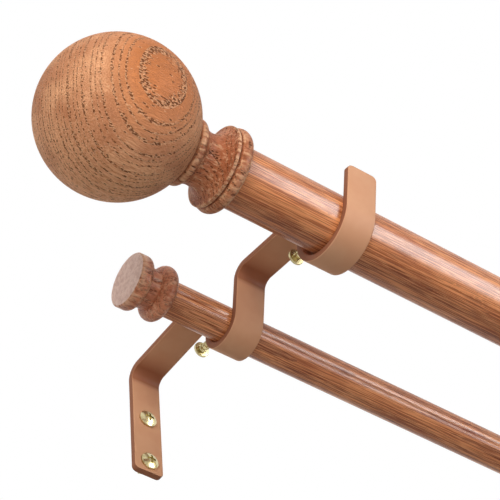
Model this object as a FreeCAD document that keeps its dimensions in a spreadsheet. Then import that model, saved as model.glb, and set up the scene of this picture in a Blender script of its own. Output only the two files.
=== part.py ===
"""Double curtain pole: two turned wooden poles in a pair of bent flat-steel wall brackets.

The frame: +X along the poles, +Y into the wall, +Z up. The origin lies on the wall,
midway between the brackets and midway between the two screws of each bracket.
Millimetres and degrees throughout.
"""

import FreeCAD, Part
import math
import os

import Sketcher

SIZES = {
    "bracket_spacing": 500.0,
    "front_pole_diameter": 28.0,
    "front_pole_overhang": 58.0,
    "back_pole_diameter": 17.0,
    "back_pole_overhang": 38.0,
    "strip_width": 15.7,
    "strip_thickness": 3.2,
    "strip_edge_round": 0.5,
    "strip_corner_round": 2.2,
    "bend_inside_radius": 4.4,
    "neck_inside_radius": 14.0,
    "plate_margin": 6.3,
    "arm_height": 45.5,
    "back_cradle_reach": 74.4,
    "back_cradle_height": 11.4,
    "front_cradle_reach": 150.3,
    "front_cradle_height": 7.0,
    "back_cradle_play": 0.4,
    "front_cradle_play": 1.0,
    "cradle_lean": 10.0,
    "arm_fall": 8.5,
    "riser_length": 20.0,
    "tip_lean": 12.0,
    "tip_length": 21.8,
    "contact_gap": 0.05,
    "wall_screw_spacing": 27.0,
    "wall_screw_diameter": 4.0,
    "wall_screw_shank_diameter": 4.4,
    "wall_screw_length": 9.5,
    "wall_screw_point": 2.0,
    "screw_hole_clearance": 0.25,
    "wall_screw_head_diameter": 9.2,
    "screw_head_rim": 1.1,
    "screw_head_height": 2.7,
    "recess_length": 4.6,
    "recess_width": 1.1,
    "recess_depth": 1.5,
    "lock_screw_diameter": 4.0,
    "lock_screw_head_diameter": 7.7,
    "back_lock_screw_length": 18.9,
    "front_lock_screw_length": 15.6,
    "lock_screw_point": 1.0,
    "back_lock_screw_rise": 5.0,
    "front_lock_screw_rise": 3.8,
    "thread_clearance": 0.05,
    "rim_width": 5.4,
    "rim_step": 0.4,
    "rim_crown": 1.1,
    "groove_width": 0.9,
    "groove_depth": 0.8,
    "ridge_diameter": 37.8,
    "ridge_width": 1.4,
    "neck_diameter": 24.4,
    "cove_radius": 7.3,
    "collar_step": 1.6,
    "collar_width": 4.4,
    "collar_taper": 0.7,
    "collar_bulge": 1.25,
    "ball_diameter": 70.4,
    "cap_bead_diameter": 26.6,
    "cap_bead_radius": 4.1,
    "cap_neck_diameter": 19.2,
    "cap_neck_length": 5.3,
    "cap_disc_step": 0.6,
    "cap_disc_diameter": 26.4,
    "cap_disc_width": 4.2,
    "cap_disc_edge": 0.5,
    "front_dowel_diameter": 6.0,
    "front_dowel_length": 44.0,
    "back_dowel_diameter": 4.0,
    "back_dowel_length": 24.0,
    "dowel_point": 3.0,
    "dowel_clearance": 0.1,
    "dowel_end_gap": 1.0,
}

doc = FreeCAD.newDocument("DoubleCurtainPole")
sheet = doc.addObject("Spreadsheet::Sheet", "Sizes")
for row, (name, number) in enumerate(SIZES.items(), start=1):
    sheet.set(f"A{row}", name)
    sheet.set(f"B{row}", str(number))
    sheet.setAlias(f"B{row}", name)
doc.recompute()


class Size:
    """A number together with the sheet expression that gives it."""

    def __init__(self, value, text):
        self.value = value
        self.text = text

    def __add__(self, other):
        other = as_size(other)
        return Size(self.value + other.value, f"({self.text} + {other.text})")

    def __sub__(self, other):
        other = as_size(other)
        return Size(self.value - other.value, f"({self.text} - {other.text})")

    def __mul__(self, other):
        other = as_size(other)
        return Size(self.value * other.value, f"{self.text} * {other.text}")

    def __truediv__(self, other):
        other = as_size(other)
        return Size(self.value / other.value, f"{self.text} / ({other.text})")

    def __neg__(self):
        return Size(-self.value, f"(-1 * {self.text})")


def as_size(value):
    """A plain number becomes a Size with itself as its expression."""
    return value if isinstance(value, Size) else Size(float(value), repr(float(value)))


def cell(name):
    """The named driving dimension."""
    return Size(SIZES[name], f"Sizes.{name}")


def cosine(angle):
    """Cosine of an angle in degrees."""
    return Size(math.cos(math.radians(angle.value)), f"cos({angle.text})")


def sine(angle):
    """Sine of an angle in degrees."""
    return Size(math.sin(math.radians(angle.value)), f"sin({angle.text})")


def root(value):
    """Square root."""
    return Size(math.sqrt(value.value), f"sqrt({value.text})")


X_AXIS = FreeCAD.Vector(1, 0, 0)
Y_AXIS = FreeCAD.Vector(0, 1, 0)
Z_AXIS = FreeCAD.Vector(0, 0, 1)
TOWARDS_ROOM = FreeCAD.Rotation(-Y_AXIS, Z_AXIS, -X_AXIS, "XYZ")
TURNED_ROUND = FreeCAD.Rotation(Z_AXIS, 180)
NOT_TURNED = FreeCAD.Rotation()


def bind(thing, prop, size):
    """Set a property through the sheet."""
    thing.setExpression(prop, size.text)


def place(thing, x, y, z, rotation=NOT_TURNED):
    """Put a finished piece at its place in the frame."""
    thing.Placement = FreeCAD.Placement(FreeCAD.Vector(x.value, y.value, z.value), rotation)
    bind(thing, "Placement.Base.x", x)
    bind(thing, "Placement.Base.y", y)
    bind(thing, "Placement.Base.z", z)


# In a sketch's constraints, point 1 of an edge is its start, 2 its end and 3 its centre.
# Edge -1 is the horizontal axis, whose point 1 is the sketch's origin, and -2 is the vertical axis.

def add_dimension(sketch, kind, parts, size):
    """Add a driving dimension to a sketch and bind it to the sheet."""
    index = sketch.addConstraint(Sketcher.Constraint(kind, *parts, size.value))
    bind(sketch, f"Constraints[{index}]", size)


def pin(sketch, point, x, y):
    """Hold a sketch point at x, y from the sketch's origin. None stands for zero."""
    for kind, size, axis in (("DistanceX", x, -2), ("DistanceY", y, -1)):
        if size is None:
            sketch.addConstraint(Sketcher.Constraint("PointOnObject", *point, axis))
        else:
            add_dimension(sketch, kind, (-1, 1, *point), size)


def body_plane(body, role):
    """One of the body's own origin planes or axes."""
    return next(item for item in body.Origin.OriginFeatures if item.Role == role)


def body_sketch(body, name, role, offset=None):
    """A sketch on one of the body's own planes, moved along its normal by offset."""
    sketch = body.newObject("Sketcher::SketchObject", name)
    sketch.AttachmentSupport = [(body_plane(body, role), "")]
    sketch.MapMode = "FlatFace"
    if offset is not None:
        sketch.AttachmentOffset = FreeCAD.Placement(FreeCAD.Vector(0, 0, offset.value), NOT_TURNED)
        bind(sketch, "AttachmentOffset.Base.z", offset)
    return sketch


class Profile:
    """Half outline of a turned piece: x along its axis and y its radius."""

    def __init__(self, sketch):
        self.sketch = sketch
        self.corners = []
        self.edges = []

    def corner(self, x, y):
        """Add a corner. None stands for zero."""
        self.corners.append((x, y))
        self.edges.append(None)
        return self

    def arc(self, radius, clockwise, x, y):
        """Add an arc of that radius from the last corner to this one."""
        self.corners.append((x, y))
        self.edges.append((radius, clockwise))
        return self

    @staticmethod
    def number(size):
        """The corner coordinate as a plain number."""
        return 0.0 if size is None else size.value

    def close(self):
        """Draw the outline as a closed, fully dimensioned sketch."""
        sketch = self.sketch
        points = [FreeCAD.Vector(self.number(x), self.number(y), 0) for x, y in self.corners]
        count = len(points)
        ends = []
        for index in range(count):
            here, there = points[index], points[(index + 1) % count]
            edge = self.edges[(index + 1) % count]
            if edge is None:
                geometry = sketch.addGeometry(Part.LineSegment(here, there), False)
                ends.append(((geometry, 1), (geometry, 2)))
                continue
            radius, clockwise = edge
            chord = there - here
            side = FreeCAD.Vector(chord.y, -chord.x, 0).normalize() * (1 if clockwise else -1)
            rise = math.sqrt(max(radius.value ** 2 - chord.Length ** 2 / 4, 0))
            centre = here + chord / 2 + side * rise
            first, last = (there, here) if clockwise else (here, there)
            circle = Part.Circle(centre, Z_AXIS, radius.value)
            arc = Part.ArcOfCircle(circle, circle.parameter(first), circle.parameter(last))
            geometry = sketch.addGeometry(arc, False)
            order = (2, 1) if clockwise else (1, 2)
            ends.append(((geometry, order[0]), (geometry, order[1])))
            add_dimension(sketch, "Radius", (geometry,), radius)
        for index in range(count):
            before, after = ends[index - 1][1], ends[index][0]
            sketch.addConstraint(Sketcher.Constraint("Coincident", *before, *after))
            pin(sketch, after, *self.corners[index])
        return sketch


def turned_body(name, outline):
    """A body turned about its own X axis from the half outline that outline() draws."""
    body = doc.addObject("PartDesign::Body", name)
    body.Label = name
    sketch = body_sketch(body, f"{name}_outline", "XY_Plane")
    outline(Profile(sketch)).close()
    turning = body.newObject("PartDesign::Revolution", f"{name}_turning")
    turning.Profile = sketch
    turning.ReferenceAxis = (sketch, ["H_Axis"])
    turning.Angle = 360
    body.Tip = turning
    return body


# Where things lie, from the driving dimensions

lean = cell("cradle_lean")
zero = as_size(0)


def seat(which):
    """How far a pole lies from its cradle's centre, pressed against the room side."""
    return cell(f"{which}_cradle_play") - cell("contact_gap")


def cradle_point(which, along, rise):
    """Place in Y and Z of a point beside a cradle's centre: along and above its leaning level."""
    y = -cell(f"{which}_cradle_reach") + along * cosine(lean) - rise * sine(lean)
    z = cell(f"{which}_cradle_height") + along * sine(lean) + rise * cosine(lean)
    return y, z


def pole_length(which):
    """A pole reaches past both brackets by its overhang."""
    return cell("bracket_spacing") + cell(f"{which}_pole_overhang") * 2


AXES = {which: cradle_point(which, -seat(which), zero) for which in ("front", "back")}
SIDES = {"left": -1, "right": 1}
plate_drop = cell("wall_screw_spacing") / 2 + cell("plate_margin")


# Poles, each drilled at both ends for its dowel screws

def drill(body, name, diameter, depth, mouth):
    """Drill a blind hole along the body's X axis, from mouth back towards its middle."""
    sketch = body_sketch(body, f"{name}_circle", "YZ_Plane", mouth)
    circle = sketch.addGeometry(Part.Circle(FreeCAD.Vector(), Z_AXIS, diameter.value / 2), False)
    sketch.addConstraint(Sketcher.Constraint("Coincident", circle, 3, -1, 1))
    add_dimension(sketch, "Diameter", (circle,), diameter)
    hole = body.newObject("PartDesign::Pocket", name)
    hole.Profile = sketch
    bind(hole, "Length", depth)
    return hole


def dowel_hole(which):
    """Diameter of the hole for a dowel screw, and its depth in each of the two pieces."""
    diameter = cell(f"{which}_dowel_diameter") + cell("dowel_clearance") * 2
    depth = cell(f"{which}_dowel_length") / 2 + cell("dowel_end_gap")
    return diameter, depth


def make_pole(which):
    """A round pole, drilled at both ends."""
    name = f"{which}_pole"
    length = pole_length(which)
    body = doc.addObject("PartDesign::Body", name)
    body.Label = name
    sketch = body_sketch(body, f"{name}_section", "YZ_Plane")
    circle = sketch.addGeometry(Part.Circle(FreeCAD.Vector(), Z_AXIS, 1), False)
    sketch.addConstraint(Sketcher.Constraint("Coincident", circle, 3, -1, 1))
    add_dimension(sketch, "Diameter", (circle,), cell(f"{which}_pole_diameter"))
    stock = body.newObject("PartDesign::Pad", f"{name}_stock")
    stock.Profile = sketch
    stock.SideType = "Symmetric"
    bind(stock, "Length", length)
    body.Tip = stock
    doc.recompute()
    diameter, depth = dowel_hole(which)
    hole = drill(body, f"{name}_hole", diameter, depth, length / 2)
    body.Tip = hole
    doc.recompute()
    both = body.newObject("PartDesign::Mirrored", f"{name}_holes")
    both.Originals = [hole]
    both.MirrorPlane = (body_plane(body, "YZ_Plane"), [""])
    body.Tip = both
    place(body, zero, *AXES[which])
    return body


# Turned ends: each is one piece, with x growing outwards from the pole's end

def arc_radius(chord_x, chord_y, bulge):
    """Radius of the arc over a chord that stands out from it by bulge."""
    return (chord_x * chord_x + chord_y * chord_y + bulge * bulge * 4) / (bulge * 8)


def ball_outline(profile):
    """Rim, groove, ridge, cove, small collar and ball, from the pole's end outwards."""
    hole, depth = dowel_hole("front")
    ridge, neck, cove = cell("ridge_diameter") / 2, cell("neck_diameter") / 2, cell("cove_radius")
    rim = ridge - cell("rim_step")
    groove = ridge - cell("groove_depth")
    rim_end = cell("rim_width")
    groove_end = rim_end + cell("groove_width")
    ridge_end = groove_end + cell("ridge_width")
    foot = neck + cell("collar_step")
    ridge_side, foot_side = neck + cove - ridge, cove - cell("collar_step")
    cove_middle = ridge_end + root(cove * cove - ridge_side * ridge_side)
    foot_end = cove_middle + root(cove * cove - foot_side * foot_side)
    joint = foot + cell("collar_taper")
    joint_end = foot_end + cell("collar_width")
    ball = cell("ball_diameter") / 2
    top = joint_end + root(ball * ball - joint * joint) + ball
    profile.corner(None, hole / 2)
    profile.corner(None, rim)
    profile.arc(arc_radius(rim_end, zero, cell("rim_crown")), True, rim_end, rim)
    profile.corner(rim_end, groove)
    profile.corner(groove_end, groove)
    profile.corner(groove_end, ridge)
    profile.corner(ridge_end, ridge)
    profile.arc(cove, False, foot_end, foot)
    swell = arc_radius(cell("collar_width"), cell("collar_taper"), cell("collar_bulge"))
    profile.arc(swell, True, joint_end, joint)
    profile.arc(ball, True, top, None)
    profile.corner(depth, None)
    profile.corner(depth, hole / 2)
    return profile


def cap_outline(profile):
    """Bead, neck and disc with a flat face, from the pole's end outwards."""
    hole, depth = dowel_hole("back")
    bead, neck = cell("cap_bead_radius"), cell("cap_neck_diameter") / 2
    bead_centre = cell("cap_bead_diameter") / 2 - bead
    bead_side = neck - bead_centre
    neck_start = bead + root(bead * bead - bead_side * bead_side)
    neck_end = neck_start + cell("cap_neck_length")
    disc, edge = cell("cap_disc_diameter") / 2, cell("cap_disc_edge")
    step = neck + cell("cap_disc_step")
    shoulder = disc - step
    length = neck_end + shoulder + cell("cap_disc_width")
    profile.corner(None, hole / 2)
    profile.corner(None, bead_centre)
    profile.arc(bead, True, neck_start, neck)
    profile.corner(neck_end, neck)
    profile.corner(neck_end, step)
    profile.arc(shoulder, True, neck_end + shoulder, disc)
    profile.corner(length - edge, disc)
    profile.corner(length, disc - edge)
    profile.corner(length, None)
    profile.corner(depth, None)
    profile.corner(depth, hole / 2)
    return profile


def make_end(side, which, name, outline):
    """A turned end piece against the end of its pole."""
    body = turned_body(f"{side}_{name}", outline)
    rotation = TURNED_ROUND if side == "left" else NOT_TURNED
    place(body, pole_length(which) / 2 * SIDES[side], *AXES[which], rotation)
    return body


# Screws, turned along x with the tip at zero and the head outwards

def dowel_outline(which):
    """Outline of a headless screw, pointed at both ends."""
    def draw(profile):
        radius, length = cell(f"{which}_dowel_diameter") / 2, cell(f"{which}_dowel_length")
        point = cell("dowel_point")
        profile.corner(None, None)
        profile.corner(point, radius)
        profile.corner(length - point, radius)
        profile.corner(length, None)
        return profile
    return draw


def make_dowel(side, which):
    """The hidden double-ended screw that joins an end piece to its pole."""
    body = turned_body(f"{side}_{which}_dowel_screw", dowel_outline(which))
    middle = pole_length(which) / 2 * SIDES[side]
    place(body, middle - cell(f"{which}_dowel_length") / 2, *AXES[which])
    return body


def pan_screw_outline(kind, length, flat_tip):
    """Outline of a pan-head screw: a blunt machine screw, or a pointed one with a plain shank."""
    def draw(profile):
        radius, head = cell(f"{kind}_screw_diameter") / 2, cell(f"{kind}_screw_head_diameter") / 2
        point = cell(f"{kind}_screw_point")
        top, rim = cell("screw_head_height"), cell("screw_head_rim")
        crown = top - rim
        crown_radius = (head * head + crown * crown) / (crown * 2)
        profile.corner(None, None)
        if flat_tip:
            profile.corner(None, radius - point)
        profile.corner(point, radius)
        if flat_tip:
            profile.corner(length, radius)
        else:
            shank, shank_start = cell("wall_screw_shank_diameter") / 2, length - cell("strip_thickness")
            profile.corner(shank_start, radius)
            profile.corner(shank_start, shank)
            profile.corner(length, shank)
        profile.corner(length, head)
        profile.corner(length + rim, head)
        profile.arc(crown_radius, True, length + top, None)
        return profile
    return draw


def cut_recess(body, length):
    """Cut the crossed driving recess into the head of a screw of that length."""
    top = length + cell("screw_head_height")
    long_side, short_side = cell("recess_length") / 2, cell("recess_width") / 2
    for index, (across, upwards) in enumerate(((long_side, short_side), (short_side, long_side))):
        sketch = body_sketch(body, f"{body.Name}_slot_{index}", "YZ_Plane", top)
        corners = ((-1, -1), (1, -1), (1, 1), (-1, 1))
        points = [FreeCAD.Vector(a * across.value, b * upwards.value, 0) for a, b in corners]
        for first, second in zip(points, points[1:] + points[:1]):
            sketch.addGeometry(Part.LineSegment(first, second), False)
        for line in range(4):
            sketch.addConstraint(Sketcher.Constraint("Coincident", line, 2, (line + 1) % 4, 1))
            direction = "Horizontal" if line % 2 == 0 else "Vertical"
            sketch.addConstraint(Sketcher.Constraint(direction, line))
        sketch.addConstraint(Sketcher.Constraint("Symmetric", 0, 1, 1, 2, -1, 1))
        add_dimension(sketch, "DistanceX", (0, 1, 0, 2), across * 2)
        add_dimension(sketch, "DistanceY", (1, 1, 1, 2), upwards * 2)
        slot = body.newObject("PartDesign::Pocket", f"{body.Name}_recess_{index}")
        slot.Profile = sketch
        bind(slot, "Length", cell("recess_depth"))
        body.Tip = slot
        doc.recompute()


def make_wall_screw(side, level):
    """One of the two screws that hold a bracket to the wall."""
    length = cell("wall_screw_length")
    body = turned_body(f"{side}_{level}_wall_screw", pan_screw_outline("wall", length, False))
    doc.recompute()
    cut_recess(body, length)
    x = cell("bracket_spacing") / 2 * SIDES[side]
    y = length - cell("strip_thickness")
    z = cell("wall_screw_spacing") / 2 * (1 if level == "upper" else -1)
    place(body, x, y, z, FreeCAD.Rotation(Z_AXIS, -90))
    return body


def make_lock_screw(side, which):
    """The screw through the wall side of a cradle, its blunt tip all but on the pole."""
    length = cell(f"{which}_lock_screw_length")
    body = turned_body(f"{side}_{which}_lock_screw", pan_screw_outline("lock", length, True))
    doc.recompute()
    cut_recess(body, length)
    rise = cell(f"{which}_lock_screw_rise")
    lowest = rise - (cell("lock_screw_diameter") / 2 - cell("lock_screw_point"))
    reach = cell(f"{which}_pole_diameter") / 2 + cell("contact_gap")
    along = root(reach * reach - lowest * lowest) - seat(which)
    turn = FreeCAD.Rotation(X_AXIS, lean.value) * FreeCAD.Rotation(Z_AXIS, 90)
    place(body, cell("bracket_spacing") / 2 * SIDES[side], *cradle_point(which, along, rise), turn)
    return body


# Brackets, each bent from one length of flat steel

# The path is the face of the strip that lies on the wall and then carries the poles.
# Its coordinates are the distance from the wall and the height.

def run_headings():
    """Heading of each straight run of the path, as plain numbers."""
    tilt = math.radians(lean.value)
    fall = math.radians(SIZES["arm_fall"])
    tip = math.radians(SIZES["tip_lean"])
    return {
        "plate": (0.0, 1.0),
        "arm": (1.0, 0.0),
        "drop": (-math.sin(tilt), -math.cos(tilt)),
        "riser": (math.sin(tilt), math.cos(tilt)),
        "fall": (math.cos(fall), -math.sin(fall)),
        "tip": (math.sin(tip), math.cos(tip)),
    }


def crossing(point, heading, other, other_heading):
    """Where two lines cross."""
    determinant = heading[0] * other_heading[1] - heading[1] * other_heading[0]
    gap = (other[0] - point[0], other[1] - point[1])
    reach = (gap[0] * other_heading[1] - gap[1] * other_heading[0]) / determinant
    return (point[0] + reach * heading[0], point[1] + reach * heading[1])


def strip_runs():
    """Straight runs of the path as plain numbers, from the plate's foot to the tip.

    They start the solver close to its answer; the sketch's own dimensions then hold them.
    """
    headings = run_headings()
    bend = SIZES["bend_inside_radius"] + SIZES["strip_thickness"]
    neck = SIZES["neck_inside_radius"] + SIZES["strip_thickness"]
    centres, radii = [], []
    for which in ("back", "front"):
        centres.append((SIZES[f"{which}_cradle_reach"], SIZES[f"{which}_cradle_height"]))
        radii.append(SIZES[f"{which}_pole_diameter"] / 2 + SIZES[f"{which}_cradle_play"])

    def beside(centre, radius, heading):
        """The point of a cradle's arc where a run with that heading leaves it."""
        return (centre[0] + radius * heading[1], centre[1] - radius * heading[0])

    def rounded(point, heading, other, other_heading, radius):
        """Ends of the arc that rounds the corner of two runs."""
        corner = crossing(point, heading, other, other_heading)
        turn = math.acos(heading[0] * other_heading[0] + heading[1] * other_heading[1])
        back = radius * math.tan(turn / 2)
        return ((corner[0] - back * heading[0], corner[1] - back * heading[1]),
                (corner[0] + back * other_heading[0], corner[1] + back * other_heading[1]))

    foot = (0.0, -plate_drop.value)
    arm_level = (0.0, SIZES["arm_height"])
    plate_end, arm_start = rounded(foot, headings["plate"], arm_level, headings["arm"], bend)
    drop_end = beside(centres[0], radii[0], headings["drop"])
    arm_end, drop_start = rounded(arm_level, headings["arm"], drop_end, headings["drop"], neck)
    riser_start = beside(centres[0], radii[0], headings["riser"])
    length = SIZES["riser_length"]
    riser, falling = headings["riser"], headings["fall"]
    riser_end = (riser_start[0] + length * riser[0], riser_start[1] + length * riser[1])
    turn = math.acos(riser[0] * falling[0] + riser[1] * falling[1])
    back = bend * math.tan(turn / 2)
    corner = (riser_end[0] + back * riser[0], riser_end[1] + back * riser[1])
    fall_start = (corner[0] + back * falling[0], corner[1] + back * falling[1])
    second_drop_end = beside(centres[1], radii[1], headings["drop"])
    fall_end, second_drop_start = rounded(corner, falling, second_drop_end, headings["drop"], bend)
    tip_start = beside(centres[1], radii[1], headings["tip"])
    length = SIZES["tip_length"]
    tip_end = (tip_start[0] + length * headings["tip"][0], tip_start[1] + length * headings["tip"][1])
    return [(foot, plate_end), (arm_start, arm_end), (drop_start, drop_end), (riser_start, riser_end),
            (fall_start, fall_end), (second_drop_start, second_drop_end), (tip_start, tip_end)]


def strip_arc(before, after, heading, radius, clockwise):
    """The arc that carries on from one run to the next."""
    side = (heading[1], -heading[0]) if clockwise else (-heading[1], heading[0])
    centre = FreeCAD.Vector(before[0] + radius * side[0], before[1] + radius * side[1], 0)
    circle = Part.Circle(centre, Z_AXIS, radius)
    first, last = (after, before) if clockwise else (before, after)
    return Part.ArcOfCircle(circle, circle.parameter(FreeCAD.Vector(*first, 0)),
                            circle.parameter(FreeCAD.Vector(*last, 0)))


def cradle_radius(which):
    """Inside radius of a cradle."""
    return cell(f"{which}_pole_diameter") / 2 + cell(f"{which}_cradle_play")


def strip_path(name):
    """The sketch of the strip's path: seven straight runs joined by six tangent bends."""
    sketch = doc.addObject("Sketcher::SketchObject", f"{name}_path")
    runs = strip_runs()
    bend = cell("bend_inside_radius") + cell("strip_thickness")
    neck = cell("neck_inside_radius") + cell("strip_thickness")
    cradles = [cradle_radius(which) for which in ("back", "front")]
    bends = [(bend, True), (neck, True), (cradles[0], False), (bend, True), (bend, True), (cradles[1], False)]
    lines, arcs = [], []
    for first, last in runs:
        line = Part.LineSegment(FreeCAD.Vector(*first, 0), FreeCAD.Vector(*last, 0))
        lines.append(sketch.addGeometry(line, False))
    for (run, following, (radius, clockwise)) in zip(runs, runs[1:], bends):
        length = math.dist(*run)
        heading = ((run[1][0] - run[0][0]) / length, (run[1][1] - run[0][1]) / length)
        arc = strip_arc(run[1], following[0], heading, radius.value, clockwise)
        arcs.append(sketch.addGeometry(arc, False))
    for index, (radius, clockwise) in enumerate(bends):
        first, last = (2, 1) if clockwise else (1, 2)
        sketch.addConstraint(Sketcher.Constraint("Tangent", lines[index], 2, arcs[index], first))
        sketch.addConstraint(Sketcher.Constraint("Tangent", arcs[index], last, lines[index + 1], 1))
        add_dimension(sketch, "Radius", (arcs[index],), radius)
    plate, arm, drop, riser, fall, second_drop, tip = lines
    sketch.addConstraint(Sketcher.Constraint("PointOnObject", plate, 1, -2))
    sketch.addConstraint(Sketcher.Constraint("Vertical", plate))
    add_dimension(sketch, "DistanceY", (plate, 1, -1, 1), plate_drop)
    sketch.addConstraint(Sketcher.Constraint("Horizontal", arm))
    add_dimension(sketch, "DistanceY", (-1, 1, arm, 1), cell("arm_height"))
    sketch.addConstraint(Sketcher.Constraint("Parallel", drop, riser))
    sketch.addConstraint(Sketcher.Constraint("Parallel", second_drop, riser))
    for arc, which in ((arcs[2], "back"), (arcs[5], "front")):
        add_dimension(sketch, "DistanceX", (-1, 1, arc, 3), cell(f"{which}_cradle_reach"))
        add_dimension(sketch, "DistanceY", (-1, 1, arc, 3), cell(f"{which}_cradle_height"))
    slopes = ((riser, as_size(90) - lean), (fall, -cell("arm_fall")), (tip, as_size(90) - cell("tip_lean")))
    for line, angle in slopes:
        index = sketch.addConstraint(Sketcher.Constraint("Angle", line, math.radians(angle.value)))
        bind(sketch, f"Constraints[{index}]", angle)
    add_dimension(sketch, "Distance", (riser,), cell("riser_length"))
    add_dimension(sketch, "Distance", (tip,), cell("tip_length"))
    return sketch


def edge_names(shape, wanted):
    """Names of the shape's edges that meet a test."""
    return [f"Edge{index}" for index, edge in enumerate(shape.Edges, start=1) if wanted(edge)]


def cross_hole(body, name, diameter, y, z, turn):
    """Drill a hole right through the strip, along Y turned about X by turn."""
    sketch = body.newObject("Sketcher::SketchObject", f"{name}_circle")
    sketch.AttachmentSupport = [(body_plane(body, "XZ_Plane"), "")]
    sketch.MapMode = "FlatFace"
    offset = FreeCAD.Placement(FreeCAD.Vector(0, z.value, -y.value), FreeCAD.Rotation(X_AXIS, turn.value))
    sketch.AttachmentOffset = offset
    bind(sketch, "AttachmentOffset.Base.y", z)
    bind(sketch, "AttachmentOffset.Base.z", -y)
    circle = sketch.addGeometry(Part.Circle(FreeCAD.Vector(), Z_AXIS, 1), False)
    sketch.addConstraint(Sketcher.Constraint("Coincident", circle, 3, -1, 1))
    add_dimension(sketch, "Diameter", (circle,), diameter)
    hole = body.newObject("PartDesign::Pocket", name)
    hole.Profile = sketch
    hole.SideType = "Symmetric"
    bind(hole, "Length", cell("strip_thickness") * 3)
    body.Tip = hole
    doc.recompute()


def make_bracket(side):
    """A wall plate, an arm, a cradle for the back pole, a riser and a cradle for the front pole."""
    name = f"{side}_bracket"
    path = strip_path(name)
    path.Placement = FreeCAD.Placement(FreeCAD.Vector(), TOWARDS_ROOM)
    doc.recompute()
    section = doc.addObject("Part::Offset2D", f"{name}_section")
    section.Source = path
    section.Mode = "Skin"
    section.Join = "Intersection"
    section.Fill = True
    bind(section, "Value", -cell("strip_thickness"))
    doc.recompute()
    strip = doc.addObject("Part::Extrusion", f"{name}_strip")
    strip.Base = section
    strip.DirMode = "Normal"
    strip.Symmetric = True
    strip.Solid = True
    bind(strip, "LengthFwd", cell("strip_width"))
    doc.recompute()

    body = doc.addObject("PartDesign::Body", name)
    body.Label = name
    body.BaseFeature = strip
    doc.recompute()
    corners = body.newObject("PartDesign::Fillet", f"{name}_corners")
    base = body.Group[0]
    thickness = SIZES["strip_thickness"]

    def is_end_corner(edge):
        """An edge straight through the thickness of the strip."""
        across = edge.tangentAt(edge.FirstParameter)
        return abs(edge.Length - thickness) < 1e-4 and abs(across.x) < 1e-6
    corners.Base = (base, edge_names(base.Shape, is_end_corner))
    bind(corners, "Radius", cell("strip_corner_round"))
    body.Tip = corners
    doc.recompute()

    softened = body.newObject("PartDesign::Fillet", f"{name}_edges")
    half = SIZES["strip_width"] / 2

    def is_long_edge(edge):
        """An edge of one of the strip's two narrow sides."""
        box = edge.BoundBox
        return box.XLength < 1e-6 and abs(abs(box.XMin) - half) < 1e-4
    softened.Base = (corners, edge_names(corners.Shape, is_long_edge))
    bind(softened, "Radius", cell("strip_edge_round"))
    body.Tip = softened
    doc.recompute()

    plate_middle = -cell("strip_thickness") / 2
    hole = cell("wall_screw_shank_diameter") + cell("screw_hole_clearance") * 2
    for level, sign in (("upper", 1), ("lower", -1)):
        height = cell("wall_screw_spacing") / 2 * sign
        cross_hole(body, f"{name}_{level}_hole", hole, plate_middle, height, zero)
    threaded = cell("lock_screw_diameter") + cell("thread_clearance") * 2
    for which in ("back", "front"):
        middle = cradle_radius(which) + cell("strip_thickness") / 2
        y, z = cradle_point(which, middle, cell(f"{which}_lock_screw_rise"))
        cross_hole(body, f"{name}_{which}_thread", threaded, y, z, lean)
    place(body, cell("bracket_spacing") / 2 * SIDES[side], zero, zero)
    return body


PARTS = [make_pole("front"), make_pole("back")]
for side in SIDES:
    PARTS.append(make_bracket(side))
    PARTS.append(make_end(side, "front", "ball_finial", ball_outline))
    PARTS.append(make_end(side, "back", "end_cap", cap_outline))
    for which in AXES:
        PARTS.append(make_dowel(side, which))
        PARTS.append(make_lock_screw(side, which))
    for level in ("upper", "lower"):
        PARTS.append(make_wall_screw(side, level))
doc.recompute()

for thing in doc.Objects:
    if "Invalid" in thing.State or "Error" in thing.State:
        raise RuntimeError(f"{thing.Name} did not compute: {thing.State}")
os.makedirs("parts", exist_ok=True)
for part in PARTS:
    shape = part.Shape
    if shape.isNull() or not shape.isValid() or len(shape.Solids) != 1:
        raise RuntimeError(f"{part.Label} is not one sound solid")
    shape.exportStep(os.path.join("parts", f"{part.Label}.step"))
    print(f"{part.Label}: {shape.Volume:.1f} mm3")
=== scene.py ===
"""Looks of the double curtain pole: turned wooden poles and finials in bent steel brackets.

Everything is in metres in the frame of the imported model: +X along the poles, +Y into
the wall and +Z up. The origin lies on the wall, midway between the brackets. The sizes
of the pieces are written in millimetres and turned into metres where a mesh is made.
"""
from __future__ import annotations

import logging
import math
from dataclasses import dataclass, field, replace
from enum import Enum
from typing import ClassVar, Iterable, Sequence, Union

import bmesh
import bpy
from mathutils import Matrix, Vector

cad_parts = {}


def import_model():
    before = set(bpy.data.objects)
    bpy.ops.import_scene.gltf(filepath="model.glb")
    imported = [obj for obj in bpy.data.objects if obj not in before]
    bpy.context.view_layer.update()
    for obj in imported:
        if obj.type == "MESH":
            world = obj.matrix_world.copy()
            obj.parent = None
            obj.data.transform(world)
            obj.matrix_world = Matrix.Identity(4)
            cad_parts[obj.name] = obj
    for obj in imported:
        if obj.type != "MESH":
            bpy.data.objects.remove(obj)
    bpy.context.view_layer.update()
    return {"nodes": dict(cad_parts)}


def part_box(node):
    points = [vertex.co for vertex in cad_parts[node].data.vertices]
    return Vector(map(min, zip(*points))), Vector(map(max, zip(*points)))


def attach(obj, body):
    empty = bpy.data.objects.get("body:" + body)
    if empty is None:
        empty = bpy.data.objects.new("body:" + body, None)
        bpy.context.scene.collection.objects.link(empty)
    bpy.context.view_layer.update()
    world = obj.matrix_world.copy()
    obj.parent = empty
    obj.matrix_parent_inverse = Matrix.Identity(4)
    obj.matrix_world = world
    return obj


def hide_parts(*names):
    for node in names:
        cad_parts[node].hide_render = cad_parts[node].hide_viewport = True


LOG = logging.getLogger("double_curtain_pole")

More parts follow.
